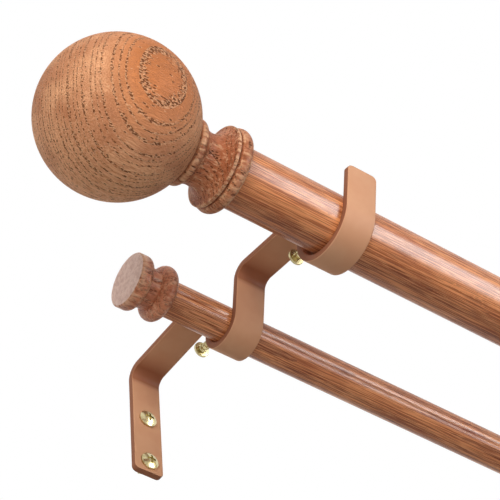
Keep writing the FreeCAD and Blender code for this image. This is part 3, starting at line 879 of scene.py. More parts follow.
def rounded_ends(wire: ShapeWiring, strip: Socket) -> Socket:
    """Draw the strip's sides in near its ends, by the attribute inset.

    Args:
        wire: wiring of the tree.
        strip: the swept strip.

    Returns:
        The strip with rounded corners.
    """
    here = wire.split(wire.out("GeometryNodeInputPosition"))[0]
    feeds = {"Geometry": strip, "Attribute": here}
    measured = wire.add("GeometryNodeAttributeStatistic", feeds, data_type="FLOAT", domain="POINT").outputs
    outwards = wire.math("SIGN", wire.math("SUBTRACT", here, measured["Mean"]))
    shift = wire.times(wire.times(outwards, wire.named("inset")), -1.0)
    return wire.out("GeometryNodeSetPosition", {"Geometry": strip, "Offset": wire.join(shift)})


def shaded_strip(wire: ShapeWiring, strip: Socket) -> Socket:
    """Mark where painted shade darkens a nook, and which faces are the strip's cut sides, which get painted
    shade too.

    Args:
        wire: wiring of the tree.
        strip: the strip, with the way its flat side faces and how strongly a bend's painted shade falls on
            it.

    Returns:
        The strip with its attributes of painted shade in the nooks and on the cut sides.
    """
    feeds = {0: wire.out("GeometryNodeInputNormal"), 1: wire.named("aim", "FLOAT_VECTOR")}
    squareness = wire.add("ShaderNodeVectorMath", feeds, operation="DOT_PRODUCT").outputs["Value"]
    # Painted shade: how dark the nook of a tight bend makes this face.
    nook_shade = wire.math("MAXIMUM", wire.times(squareness, wire.named("pull")), 0.0)
    # Painted shade: faces that stand across the strip's flat sides are its cut sides, which are painted
    # darker.
    side = wire.math("LESS_THAN", wire.math("ABSOLUTE", squareness), CUT_SIDE)
    return wire.store(wire.store(strip, "nook_shade", nook_shade), "side", side, "FACE")


def strip_tree() -> Tree:
    """A flat strip swept along its bent path, with rounded corners and drilled holes.

    The object's mesh is the path, with the attribute inset near its ends, and a mark for
    each hole, with its aim and its bore.

    Returns:
        The geometry tree.
    """
    wire = ShapeWiring("bent_strip", "Path", {
        "Width": (FLOAT, 15.7 * MM), "Thickness": (FLOAT, STRIP_THICKNESS * MM),
        "Edge Round": (FLOAT, 0.5 * MM)})
    given = wire.inputs
    marks, line = wire.part(given["Path"])
    curve = wire.out("GeometryNodeMeshToCurve", {"Mesh": line})
    steady = wire.out("GeometryNodeSetCurveNormal", {"Curve": curve, "Normal": (1.0, 0.0, 0.0)}, mode="FREE")
    feeds = {"Width": given["Width"], "Height": given["Thickness"]}
    section = wire.out("GeometryNodeCurvePrimitiveQuadrilateral", feeds)
    feeds = {"Curve": section, "Count": CORNER_POINTS, "Radius": given["Edge Round"]}
    rounded = wire.out("GeometryNodeFilletCurve", feeds, mode="POLY")
    strip = shaded_strip(wire, rounded_ends(wire, wire.sweep(steady, rounded)))
    drill = wire.out("GeometryNodeMeshCylinder", {"Vertices": DRILL_SIDES, "Radius": 1.0, "Depth": 1.0})
    bore = wire.named("bore")
    size = wire.join(wire.times(given["Thickness"], DRILL_REACH), bore, bore)
    return wire.finish_off(wire.carve(strip, wire.realize(wire.aim(marks, wire.lay(drill), size))))


def screw_tree(turning: Tree) -> Tree:
    """A threaded screw with a crossed recess, repeated at every mark.

    The object's mesh is the screw's outline, tip at the left, with a mark for each screw.

    Args:
        turning: the group that turns an outline.

    Returns:
        The geometry tree.
    """
    lengths = {
        "Head Top": 15.0, "Recess Length": 4.6, "Recess Width": 1.1, "Recess Depth": 1.5, "Thread Core": 1.7,
        "Thread Height": 0.3, "Thread Start": 1.0, "Thread End": 10.0, "Start Core": 1.7,
    }
    sizes: Inputs = {label: (FLOAT, length * MM) for label, length in lengths.items()}
    sizes.update({"Segments": (INTEGER, 64), "Thread Turns": (FLOAT, 10.0)})
    wire = ShapeWiring("screws", "Outline", sizes)
    given = wire.inputs
    marks, line = wire.part(given["Outline"])
    body = wire.group(turning, {"Outline": line, "Segments": given["Segments"]})[0]
    depth = wire.times(given["Recess Depth"], 2.0)
    head = wire.join(given["Head Top"])
    for first, second in (("Recess Length", "Recess Width"), ("Recess Width", "Recess Length")):
        bar = wire.out("GeometryNodeMeshCube", {"Size": wire.join(depth, given[first], given[second])})
        body = wire.carve(body, wire.move(bar, head))
    helix = wire.out("GeometryNodeCurveSpiral", {
        "Resolution": THREAD_POINTS, "Rotations": given["Thread Turns"], "Start Radius": given["Start Core"],
        "End Radius": given["Thread Core"],
        "Height": wire.math("SUBTRACT", given["Thread End"], given["Thread Start"])})
    feeds = {"Resolution": THREAD_SIDES, "Radius": given["Thread Height"]}
    ridge = wire.out("GeometryNodeCurvePrimitiveCircle", feeds)
    thread = wire.lay(wire.sweep(helix, ridge), given["Thread Start"])
    whole = wire.add("GeometryNodeJoinGeometry", {0: body})
    wire.connect(whole, {0: thread})
    return wire.finish_off(wire.aim(marks, whole.outputs[0], (1.0, 1.0, 1.0)))


# Making pieces.


class Outline:
    """Half outline of a turned piece: x along its axis and its radius, in millimetres."""

    ARC_STEP = math.radians(3.0)
    LEAST_STEPS = 3
    SOFT_STEPS = 4
    SOFT_SHARE = 0.45
    HOLLOW_REACH = 1.1
    HOLLOW_FULL = 0.35

    def __init__(self) -> None:
        """Start with no points."""
        self.points: list[Station] = []
        self.soft: dict[int, float] = {}

    def to(self, x: float, radius: float, soft: float = 0.0) -> Outline:
        """Add a corner.

        Args:
            x: the corner's place along the axis.
            radius: the corner's distance from the axis.
            soft: over what length the corner is eased on both sides.

        Returns:
            The outline itself.
        """
        if soft:
            self.soft[len(self.points)] = soft
        self.points.append((x, radius))
        return self

    def bow(self, bend: float, clockwise: bool, x: float, radius: float, soft: float = 0.0) -> Outline:
        """Add an arc from the last corner to this one.

        Args:
            bend: the arc's radius.
            clockwise: which way it bows, seen with x to the right and the radius upwards.
            x: the corner's place along the axis.
            radius: the corner's distance from the axis.
            soft: over what length the corner is eased on both sides.

        Returns:
            The outline itself.
        """
        x0, r0 = self.points[-1]
        chord = math.dist((x0, r0), (x, radius))
        side = 1 if clockwise else -1
        rise = side * math.sqrt(max(bend * bend - chord * chord / 4, 0.0)) / chord
        centre_x = (x0 + x) / 2 + rise * (radius - r0)
        centre_r = (r0 + radius) / 2 - rise * (x - x0)
        start = math.atan2(r0 - centre_r, x0 - centre_x)
        sweep = 2 * math.asin(min(1.0, chord / 2 / bend))
        steps = max(self.LEAST_STEPS, math.ceil(sweep / self.ARC_STEP))
        for step in range(1, steps):
            angle = start - side * sweep * step / steps
            self.points.append((centre_x + bend * math.cos(angle), centre_r + bend * math.sin(angle)))
        return self.to(x, radius, soft)

    def eased(self) -> list[Station]:
        """Round the soft corners.

        Returns:
            The outline's points.
        """
        made: list[Station] = []
        for index, point in enumerate(self.points):
            reach = self.soft.get(index, 0.0)
            if not reach:
                made.append(point)
                continue
            first = self._towards(point, self.points[index - 1], reach)
            last = self._towards(point, self.points[index + 1], reach)
            for step in range(self.SOFT_STEPS + 1):
                t = step / self.SOFT_STEPS
                made.append(between(between(first, point, t), between(point, last, t), t))
        return made

    @classmethod
    def _towards(cls, point: Station, other: Station, reach: float) -> Station:
        """The point on the way to its neighbour, at most nearly half way."""
        length = math.dist(point, other)
        return between(point, other, min(reach, length * cls.SOFT_SHARE) / length)

    @classmethod
    def hollowness(cls, points: Sequence[Station]) -> list[float]:
        """How deep each point lies in a hollow.

        Args:
            points: the outline's points.

        Returns:
            A number for each point, from -1 on a crest to 1 in a groove.
        """
        lengths = [0.0]
        for point, following in zip(points, points[1:]):
            lengths.append(lengths[-1] + math.dist(point, following))
        result = []
        for (x, radius), length in zip(points, lengths):
            before = along(points, lengths, length - cls.HOLLOW_REACH)
            after = along(points, lengths, length + cls.HOLLOW_REACH)
            run, climb = after[0] - before[0], after[1] - before[1]
            size = math.hypot(run, climb) or 1.0
            middle_x, middle_radius = between(before, after, 0.5)
            lift = ((middle_radius - radius) * run - (middle_x - x) * climb) / size
            result.append(min(max(lift / cls.HOLLOW_FULL, -1.0), 1.0))
        return result


def between(first: Station, second: Station, share: float) -> Station:
    """The point at that share of the way from the first to the second."""
    return first[0] + (second[0] - first[0]) * share, first[1] + (second[1] - first[1]) * share


def along(points: Sequence[Station], lengths: Sequence[float], length: float) -> Station:
    """The point at a length along an outline.

    Args:
        points: the outline's points.
        lengths: how far along the outline each of them lies.
        length: how far along the wanted point lies. It is held inside the outline.

    Returns:
        The point.
    """
    length = min(max(length, 0.0), lengths[-1])
    for index in range(len(points) - 1):
        if lengths[index + 1] >= length:
            span = lengths[index + 1] - lengths[index] or 1.0
            return between(points[index], points[index + 1], (length - lengths[index]) / span)
    return points[-1]


@dataclass(frozen=True)
class Mark:
    """A place in the row frame where a hole or a screw goes, in metres."""

    place: Vector
    aim: Vector
    bore: float = 0.0


def line_mesh(name: str, points: Sequence[Vector], marks: Iterable[Mark] = (), aims: Sequence[Vector] = (),
              **attributes: Sequence[float]) -> bpy.types.Mesh:
    """Make a mesh that holds one open line and some loose marks.

    Args:
        name: the mesh's name.
        points: the line's points, in order.
        marks: places of holes or screws.
        aims: a direction for each point of the line, or none.
        attributes: a number for each point of the line, by attribute name.

    Returns:
        The mesh.
    """
    marks = list(marks)
    mesh = bpy.data.meshes.new(name)
    edges = [(index, index + 1) for index in range(len(points) - 1)]
    mesh.from_pydata([*points, *(mark.place for mark in marks)], edges, [])
    blank = [0.0] * len(points)
    columns = {"mark": blank + [1.0] * len(marks), "bore": blank + [mark.bore for mark in marks]}
    for key, values in attributes.items():
        columns[key] = [*values, *([0.0] * len(marks))]
    for key, values in columns.items():
        mesh.attributes.new(key, "FLOAT", "POINT").data.foreach_set("value", values)
    directions = [*(aims or [Vector()] * len(points)), *(mark.aim for mark in marks)]
    numbers = [number for direction in directions for number in direction]
    mesh.attributes.new("aim", "FLOAT_VECTOR", "POINT").data.foreach_set("vector", numbers)
    return mesh


def outline_mesh(name: str, points: Sequence[Station], marks: Iterable[Mark] = (),
                 **attributes: Sequence[float]) -> bpy.types.Mesh:
    """Make the mesh of a half outline that a tree turns about the X axis.

    Args:
        name: the mesh's name.
        points: the outline's points, in millimetres.
        marks: places of screws.
        attributes: a number for each point of the outline, by attribute name.

    Returns:
        The mesh, with at least the attribute that marks the hollows, for painted shade, pooled stain and worn
        crests.
    """
    attributes.setdefault("stain", [0.0] * len(points))
    return line_mesh(name, [Vector((x * MM, radius * MM, 0.0)) for x, radius in points], marks, **attributes)


class Workshop:
    """Holds the geometry trees and turns their results into plain pieces."""

    def __init__(self) -> None:
        """Build every tree once."""
        turning = turning_group()
        self.turned = turned_piece_tree(turning)
        self.strip = strip_tree()
        self.screws = screw_tree(turning)

    @staticmethod
    def make(name: str, tree: Tree, mesh: bpy.types.Mesh, inputs: dict[str, object]) -> bpy.types.Object:
        """Run a tree on a mesh and keep the result as a plain mesh object.

        Args:
            name: the piece's name.
            tree: the geometry tree.
            mesh: the line and marks that it works on.
            inputs: the tree's inputs by name.

        Returns:
            The piece, at the origin and with no modifier.
        """
        carrier = bpy.data.objects.new(f"{name}_line", mesh)
        bpy.context.scene.collection.objects.link(carrier)
        modifier = carrier.modifiers.new("Shape", "NODES")
        modifier.node_group = tree
        sockets = {item.name: item.identifier for item in tree.interface.items_tree
                   if item.item_type == "SOCKET" and item.in_out == "INPUT"}
        for label, value in inputs.items():
            modifier[sockets[label]] = value
        depsgraph = bpy.context.evaluated_depsgraph_get()
        made = bpy.data.meshes.new_from_object(
            carrier.evaluated_get(depsgraph), preserve_all_data_layers=True, depsgraph=depsgraph)
        bpy.data.objects.remove(carrier)
        Workshop.face_outwards(made)
        made.name = name
        piece = bpy.data.objects.new(name, made)
        bpy.context.scene.collection.objects.link(piece)
        return piece

    @staticmethod
    def face_outwards(mesh: bpy.types.Mesh) -> None:
        """Merge what is left doubled and turn every face outwards.

        Args:
            mesh: the piece's mesh, which is changed.
        """
        work = bmesh.new()
        work.from_mesh(mesh)
        bmesh.ops.remove_doubles(work, verts=work.verts, dist=1e-7)
        bmesh.ops.recalc_face_normals(work, faces=work.faces)
        work.to_mesh(mesh)
        work.free()


def extremes(corners: Iterable[Sequence[float]]) -> tuple[Vector, Vector]:
    """The lowest and the highest corner of the box around some points."""
    axes = list(zip(*corners))
    return Vector(min(axis) for axis in axes), Vector(max(axis) for axis in axes)


def settle(piece: bpy.types.Object, slot: Slot, *nodes: str) -> None:
    """Let a piece ride on the frame in place of its CAD nodes, and report how well it fits.

    Args:
        piece: the finished piece.
        slot: the record's material slot; not used.
        nodes: the CAD nodes that it stands for.
    """
    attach(piece, "root")
    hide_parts(*nodes)
    low, high = extremes(piece.bound_box)
    solid_low, solid_high = extremes(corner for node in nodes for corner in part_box(node)[:2])
    off = max(abs(gap) for gap in (*(low - solid_low), *(high - solid_high)))
    LOG.info("%s: %d faces, box within %.2f mm of its solids", piece.name, len(piece.data.polygons), off / MM)


# The pole set's own pieces. Their sizes are in millimetres and degrees.


@dataclass(frozen=True)
class Cradle:
    """A cradle of the bracket, and how its pole and its lock screw lie in it.

    It leans out from the wall: along runs from the cradle's centre towards the wall, and
    rise runs up.
    """

    rank: Rank
    reach: float
    height: float
    pole_radius: float
    play: float
    screw_length: float
    screw_rise: float
    lean: float = 10.0

    @property
    def radius(self) -> float:
        """The cradle's inside radius."""
        return self.pole_radius + self.play

    @property
    def shift(self) -> float:
        """How far the lock screw pushes the pole's axis off the cradle's centre."""
        return self.play - CONTACT_GAP

    def point(self, along_by: float, rise: float) -> Station:
        """Y and Z of a point beside the cradle's centre."""
        cosine, sine = math.cos(math.radians(self.lean)), math.sin(math.radians(self.lean))
        return -self.reach + along_by * cosine - rise * sine, self.height + along_by * sine + rise * cosine

    def aim(self) -> Vector:
        """Direction from the lock screw's tip to its head."""
        lean = math.radians(self.lean)
        return Vector((0.0, math.cos(lean), math.sin(lean)))

    def seat(self) -> Vector:
        """The middle of the pole's axis, in metres."""
        y, z = self.point(-self.shift, 0.0)
        return Vector((0.0, y * MM, z * MM))

    def tip(self, x: float) -> Vector:
        """Where the lock screw's tip all but touches the pole.

        Args:
            x: the bracket's place along the poles, in metres.

        Returns:
            The tip's place, in metres.
        """
        reach, lowest = self.pole_radius + CONTACT_GAP, self.screw_rise - SCREW_TIP_RADIUS
        y, z = self.point(math.sqrt(reach ** 2 - lowest ** 2) - self.shift, self.screw_rise)
        return Vector((x, y * MM, z * MM))


BACK_CRADLE = Cradle(Rank.BACK, 74.4, 11.4, pole_radius=8.5, play=0.4, screw_length=18.9, screw_rise=5.0)
FRONT_CRADLE = Cradle(Rank.FRONT, 150.3, 7.0, pole_radius=14.0, play=1.0, screw_length=15.6, screw_rise=3.8)


@dataclass
class Pole:
    """A round wooden pole, drilled at both ends for its dowel screws."""

    cradle: Cradle
    overhang: float
    bore: float
    bore_depth: float
    arris: float = 0.5
    segments: int = 160
    stations: int = 24

    TREE_MIDDLE = (0.0, 0.031, 0.052)
    FIBRE_TURN = math.radians(0.4)

    @property
    def length(self) -> float:
        """The pole's whole length."""
        return BRACKET_SPACING + 2 * self.overhang

    def outline(self) -> list[Station]:
        """Draw the pole's half outline.

        Returns:
            Its points, from one blind hole to the other.
        """
        half, radius, bore = self.length / 2, self.cradle.pole_radius, self.bore / 2
        line = Outline().to(-half + self.bore_depth, 0).to(-half + self.bore_depth, bore).to(-half, bore)
        line.to(-half, radius, self.arris)
        for step in range(1, self.stations):
            line.to(-half + self.length * step / self.stations, radius)
        line.to(half, radius, self.arris).to(half, bore)
        line.to(half - self.bore_depth, bore).to(half - self.bore_depth, 0)
        return line.eased()

    def build(self, shop: FinishShop, works: Workshop) -> bpy.types.Object:
        """Make and dress the pole.

        Args:
            shop: makes the finish.
            works: makes the mesh.

        Returns:
            The piece.
        """
        node = f"{self.cradle.rank.value}_pole"
        name = f"{node}_turned"
        seat = self.cradle.seat()
        finish = POLE_WOOD.material(shop, f"{node}_wood", seat + Vector(self.TREE_MIDDLE), self.FIBRE_TURN)
        mesh = outline_mesh(name, self.outline())
        inputs = {"Segments": self.segments, "Seat": seat, "Finish": finish}
        piece = works.make(name, works.turned, mesh, inputs)
        settle(piece, POLE_WOOD.slot, node)
        return piece


@dataclass
class TurnedEnd:
    """A turned end piece, whose outline grows outwards from the pole's end."""

    side: Side
    pole: Pole
    segments: int = 160

    node_word: ClassVar[str] = "end"
    wood: ClassVar[WoodFinish] = FINIAL_WOOD
    FIBRE_TURN = math.radians(2.0)

    def outline(self) -> Outline:
        """The half outline, which each kind of end draws for itself."""
        raise NotImplementedError

    def pith(self) -> Vector:
        """A point of the line that was the middle of the tree, for this piece's own billet."""
        raise NotImplementedError

    def turned_share(self, x: float) -> float:
        """How far the surface at x has the darker, glossier look of the turned mouldings."""
        raise NotImplementedError

    def sanded_share(self, x: float) -> float:
        """How far the surface at x is sanded end grain."""
        return 0.0

    def build(self, shop: FinishShop, works: Workshop) -> bpy.types.Object:
        """Make and dress the end piece.

        Args:
            shop: makes the finish.
            works: makes the mesh.

        Returns:
            The piece.
        """
        node = f"{self.side.word}_{self.node_word}"
        name = f"{node}_turned"
        sign, start = self.side.value, self.side.value * self.pole.length / 2
        finish = self.wood.material(shop, f"{node}_wood", self.pith(), self.FIBRE_TURN * sign)
        points = self.outline().eased()
        mesh = outline_mesh(
            name, [(start + sign * x, radius) for x, radius in points], stain=Outline.hollowness(points),
            turned=[self.turned_share(x) for x, _ in points],
            sanded=[self.sanded_share(x) for x, _ in points])
        inputs = {"Segments": self.segments, "Seat": self.pole.cradle.seat(), "Finish": finish}
        piece = works.make(name, works.turned, mesh, inputs)
        settle(piece, self.wood.slot, node)
        return piece


def bow_radius(width: float, drop: float, bulge: float) -> float:
    """Radius of the arc that stands out by bulge from a chord of that width and drop."""
    return (width ** 2 + drop ** 2 + 4 * bulge ** 2) / (8 * bulge)


@dataclass
class BallFinial(TurnedEnd):
    """Rim, groove, ridge, cove, small collar and ball."""

    rim_width: float = 5.4
    rim_radius: float = 18.5
    rim_crown: float = 1.1
    rim_soft: float = 0.6
    groove_width: float = 0.9
    groove_depth: float = 0.8
    groove_soft: float = 0.2
    ridge_radius: float = 18.9
    ridge_width: float = 1.4
    ridge_soft: float = 0.3
    neck_radius: float = 12.2
    cove: float = 7.3
    collar_step: float = 1.6
    collar_width: float = 4.4
    collar_taper: float = 0.7
    collar_bulge: float = 1.25
    joint_soft: float = 0.25
    ball_radius: float = 35.2
    turned_past_joint: float = 4.0
    turned_fade: float = 6.0

    node_word = "ball_finial"
    PITH_TILT = math.radians(11.2)
    PITH_REACH = 0.04665

    @property
    def ridge_end(self) -> float:
        """Where the ridge ends and the cove begins."""
        return self.rim_width + self.groove_width + self.ridge_width

    @property
    def foot_end(self) -> float:
        """Where the cove ends and the small collar begins.

        Returns:
            The distance from the pole's end.
        """
        ridge_side = self.neck_radius + self.cove - self.ridge_radius
        foot_side = self.cove - self.collar_step
        reach = math.sqrt(self.cove ** 2 - ridge_side ** 2) + math.sqrt(self.cove ** 2 - foot_side ** 2)
        return self.ridge_end + reach

    @property
    def joint_end(self) -> float:
        """Where the collar ends and the ball begins."""
        return self.foot_end + self.collar_width

    @property
    def joint_radius(self) -> float:
        """How thick the neck is where the ball begins."""
        return self.neck_radius + self.collar_step + self.collar_taper

    @property
    def ball_centre(self) -> float:
        """How far the ball's centre lies from the pole's end."""
        return self.joint_end + math.sqrt(self.ball_radius ** 2 - self.joint_radius ** 2)

    def outline(self) -> Outline:
        """Draw the finial's half outline.

        Returns:
            The outline, from its blind hole to the ball's tip.
        """
        bore, depth = self.pole.bore / 2, self.pole.bore_depth
        groove_end, groove = self.rim_width + self.groove_width, self.ridge_radius - self.groove_depth
        rim_bow = bow_radius(self.rim_width, 0, self.rim_crown)
        collar_bow = bow_radius(self.collar_width, self.collar_taper, self.collar_bulge)
        line = Outline().to(depth, 0).to(depth, bore).to(0, bore).to(0, self.rim_radius, self.rim_soft)
        line.bow(rim_bow, True, self.rim_width, self.rim_radius, self.joint_soft)
        line.to(self.rim_width, groove, self.groove_soft).to(groove_end, groove, self.groove_soft)
        line.to(groove_end, self.ridge_radius, self.ridge_soft)
        line.to(self.ridge_end, self.ridge_radius, self.ridge_soft)
        line.bow(self.cove, False, self.foot_end, self.neck_radius + self.collar_step, self.ridge_soft)
        line.bow(collar_bow, True, self.joint_end, self.joint_radius, self.joint_soft)
        line.bow(self.ball_radius, True, self.ball_centre + self.ball_radius, 0)
        return line

    def turned_share(self, x: float) -> float:
        """The mouldings are dark and glossy, and the ball isn't."""
        return min(max((self.joint_end + self.turned_past_joint - x) / self.turned_fade, 0.0), 1.0)

    def pith(self) -> Vector:
        """The tree's middle lies on the wall side, so the rings nest on the room side of the ball.

        Returns:
            A point of the tree's middle, in metres.
        """
        x = self.side.value * (self.pole.length / 2 + self.ball_centre) * MM
        across = Vector((0.0, math.cos(self.PITH_TILT), math.sin(self.PITH_TILT))) * self.PITH_REACH
        return self.pole.cradle.seat() + Vector((x, 0.0, 0.0)) + across


@dataclass
class EndCap(TurnedEnd):
    """Bead, neck and disc with a flat face."""

    bead_radius: float = 4.1
    bead_outer: float = 13.3
    neck_radius: float = 9.6
    neck_length: float = 5.3
    neck_soft: float = 0.15
    disc_step: float = 0.6
    disc_radius: float = 13.2
    disc_width: float = 4.2
    disc_edge: float = 0.5
    disc_soft: float = 0.2
    face_ring: float = 0.6
    face_margin: float = 0.02

    node_word = "end_cap"
    wood = CAP_WOOD
    TURNED_SHARE = 0.8
    PITH = (0.026, 0.018)

    @property
    def neck_start(self) -> float:
        """Where the bead ends and the neck begins."""
        side = self.neck_radius - self.bead_outer + self.bead_radius
        return self.bead_radius + math.sqrt(self.bead_radius ** 2 - side ** 2)

    @property
    def shoulder(self) -> float:
        """Radius of the disc's rounded back."""
        return self.disc_radius - self.neck_radius - self.disc_step

    @property
    def length(self) -> float:
        """From the pole's end to the flat face."""
        return self.neck_start + self.neck_length + self.shoulder + self.disc_width

    def turned_share(self, x: float) -> float:
        """The whole cap is dark and glossy but for its face."""
        return self.TURNED_SHARE

    def sanded_share(self, x: float) -> float:
        """The flat face is sanded end grain."""
        return 1.0 if x > self.length - self.face_margin else 0.0

    def outline(self) -> Outline:
        """Draw the cap's half outline.

        Returns:
            The outline, from its blind hole to its flat face.
        """
        bore, depth = self.pole.bore / 2, self.pole.bore_depth
        bead, neck_end = self.bead_radius, self.neck_start + self.neck_length
        step, rim = self.neck_radius + self.disc_step, self.disc_radius - self.disc_edge
        line = Outline().to(depth, 0).to(depth, bore).to(0, bore).to(0, self.bead_outer - bead)
        line.bow(bead, True, bead, self.bead_outer)
        line.bow(bead, True, self.neck_start, self.neck_radius, self.disc_soft)
        line.to(neck_end, self.neck_radius, self.neck_soft).to(neck_end, step, self.neck_soft)
        line.bow(self.shoulder, True, neck_end + self.shoulder, self.disc_radius)
        line.to(self.length - self.disc_edge, self.disc_radius, self.disc_soft)
        line.to(self.length, rim, self.disc_soft)
        line.to(self.length, self.disc_radius * self.face_ring).to(self.length, 0)
        return line

    def pith(self) -> Vector:
        """The tree's middle lies outside the billet."""
        return self.pole.cradle.seat() + Vector((self.side.value * self.pole.length / 2 * MM, *self.PITH))


@dataclass(frozen=True)
class Bend:
    """One step of the bending list: a straight run and the turn that follows, clockwise positive."""

    run: float
    turn: float = 0.0
    radius: float = 0.0

    # Painted shade in a tight bend's hollow: which bends count as tight, and how far the shade reaches before
    # and after.
    TIGHT = 8.0
    SHADE_BEFORE = 3.0
    SHADE_AFTER = 13.0
    SHADE_FADE = 1.5

    def side(self) -> int:
        """On which side of the path the bend's centre lies."""
        return -1 if self.turn > 0 else 1

    def pull(self, distance: float, reach: float) -> float:
        """How strongly the painted shade of a tight bend's hollow darkens the strip.

        Args:
            distance: how far away along the strip.
            reach: how far the shade reaches.

        Returns:
            The strength, with the sign of the bend's side.
        """
        if not 0.0 < self.radius < self.TIGHT:
            return 0.0
        return self.side() * max(1.0 - distance / reach, 0.0) ** self.SHADE_FADE


@dataclass
class StripBracket:
    """A bracket bent from one length of flat steel."""

    side: Side
    back: Cradle
    front: Cradle
    width: float = 15.7
    thickness: float = STRIP_THICKNESS
    arm_height: float = 45.5
    arm_fall: float = 8.5
    foot: float = -19.8
    riser: float = 20.0
    tip: float = 21.8
    tip_lean: float = 12.0
    tight_inside: float = 4.4
    neck_inside: float = 14.0
    end_round: float = 2.2
    edge_round: float = 0.5
    wall_bore: float = 4.9
    lock_bore: float = 4.1

    ARC_STEP = 3.0
    CORNER_STEPS = 5
    SHADE_STOPS = (1.0, 2.5, 4.0, 6.0, 8.5, 11.0)

    @property
    def x(self) -> float:
        """The bracket's place along the poles, in metres."""
        return self.side.value * BRACKET_SPACING / 2 * MM

    def beside(self, cradle: Cradle, way: int, rise: float = 0.0) -> Station:
        """How far out and up the strip's middle lies beside a cradle, wall side positive."""
        y, z = cradle.point(way * (cradle.radius + self.thickness / 2), rise)
        return -y, z

    def bends(self) -> list[Bend]:
        """Work out the bending list, so that the runs lead from plate to cradle to cradle.

        Returns:
            The straight runs, each with its bend, from the plate's foot to the tip.
        """
        half = self.thickness / 2
        tight, neck, level = self.tight_inside + half, self.neck_inside + half, self.arm_height - half
        lean, fall = math.radians(self.back.lean), math.radians(self.arm_fall)
        out, up = self.beside(self.back, 1)
        neck_back = neck * math.tan((math.pi / 2 + lean) / 2)
        arm = out + (level - up) * math.tan(lean) - neck_back - half - tight
        drop = (level - up) / math.cos(lean) - neck_back
        high_turn, low_turn = 90.0 - self.back.lean + self.arm_fall, 90.0 + self.back.lean - self.arm_fall
        high_back, low_back = (tight * math.tan(math.radians(turn) / 2) for turn in (high_turn, low_turn))
        start = self.beside(self.back, -1, self.riser + high_back)
        goal = self.beside(self.front, 1)
        gap_out, gap_up = goal[0] - start[0], goal[1] - start[1]
        falling = (gap_out * math.cos(lean) - gap_up * math.sin(lean)) / math.cos(fall - lean)
        dropping = -(gap_out * math.sin(fall) + gap_up * math.cos(fall)) / math.cos(fall - lean)
        return [
            Bend(level - tight - self.foot, 90.0, tight),
            Bend(arm, 90.0 + self.back.lean, neck),
            Bend(drop, -180.0, self.back.radius + half),
            Bend(self.riser, high_turn, tight),
            Bend(falling - high_back - low_back, low_turn, tight),
            Bend(dropping - low_back, self.tip_lean - self.front.lean - 180.0, self.front.radius + half),
            Bend(self.tip),
        ]

    def path(self) -> tuple[list[Vector], list[Vector], list[float]]:
        """Walk the bending list along the middle of the strip.

        Returns:
            The path's points in metres, the way that one flat side faces at each, and how
            strongly the painted shade of a tight bend close by darkens that side, or the other one.
        """
        out, up, heading = self.thickness / 2, self.foot, math.pi / 2
        flat: list[tuple[float, float, float, float]] = [(out, up, heading, 0.0)]
        bends = self.bends()
        for before, bend in zip([Bend(0.0), *bends], bends):
            for stop in self.stops(bend.run, bend is bends[0], bend is bends[-1]):
                # Painted shade from the tight bends at both ends of this run.
                pull = before.pull(stop, Bend.SHADE_AFTER) + bend.pull(bend.run - stop, Bend.SHADE_BEFORE)
                flat.append((out + stop * math.cos(heading), up + stop * math.sin(heading), heading, pull))
            out, up = flat[-1][:2]
            arm, pull = bend.side() * bend.radius, bend.pull(0.0, 1.0)
            centre_out, centre_up = out - arm * math.sin(heading), up + arm * math.cos(heading)
            steps = math.ceil(abs(bend.turn) / self.ARC_STEP)
            for step in range(1, steps + 1):
                angle = heading - math.radians(bend.turn) * step / steps
                out, up = centre_out + arm * math.sin(angle), centre_up - arm * math.cos(angle)
                flat.append((out, up, angle, pull))
            heading -= math.radians(bend.turn)
            out, up = flat[-1][:2]
        points = [Vector((self.x, -reach * MM, height * MM)) for reach, height, _, _ in flat]
        facings = [Vector((0.0, math.sin(angle), math.cos(angle))) for _, _, angle, _ in flat]
        return points, facings, [pull for _, _, _, pull in flat]

    def stops(self, run: float, first: bool, last: bool) -> list[float]:
        """Choose where one straight run of the path has points.

        Args:
            run: the run's length.
            first: whether the strip begins with it.
            last: whether the strip ends with it.

        Returns:
            Distances along the run, its end included.
        """
        made = {run, *self.SHADE_STOPS, *(run - stop for stop in self.SHADE_STOPS)}
        if first:
            made.update(self.end_stops())
        if last:
            made.update(run - stop for stop in self.end_stops())
        return sorted(stop for stop in made if 0.0 < stop <= run)

    def end_stops(self) -> list[float]:
        """Distances from an end at which the rounded corner has its points."""
        angles = [90.0 * (step + 1) / self.CORNER_STEPS for step in range(self.CORNER_STEPS)]
        return [self.end_round * (1 - math.cos(math.radians(angle))) for angle in angles]

    def insets(self, points: Sequence[Vector]) -> list[float]:
        """Round the strip's end corners by a quarter round on each side.

        Args:
            points: the path's points.

        Returns:
            How far the strip's sides draw in at each point, in metres.
        """
        reach = self.end_round * MM
        made = []
        for point in points:
            gap = min((point - points[0]).length, (point - points[-1]).length, reach)
            made.append(reach - math.sqrt(max(reach ** 2 - (reach - gap) ** 2, 0.0)))
        return made

    def holes(self) -> list[Mark]:
        """Mark the two wall holes and the two threaded holes.

        Returns:
            A mark for each hole, in the middle of the strip.
        """
        middle = -self.thickness / 2 * MM
        made = []
        for height in (WALL_SCREW_SPACING / 2, -WALL_SCREW_SPACING / 2):
            place = Vector((self.x, middle, height * MM))
            made.append(Mark(place, Vector((0.0, 1.0, 0.0)), self.wall_bore / 2 * MM))
        for cradle in (self.back, self.front):
            y, z = cradle.point(cradle.radius + self.thickness / 2, cradle.screw_rise)
            made.append(Mark(Vector((self.x, y * MM, z * MM)), cradle.aim(), self.lock_bore / 2 * MM))
        return made

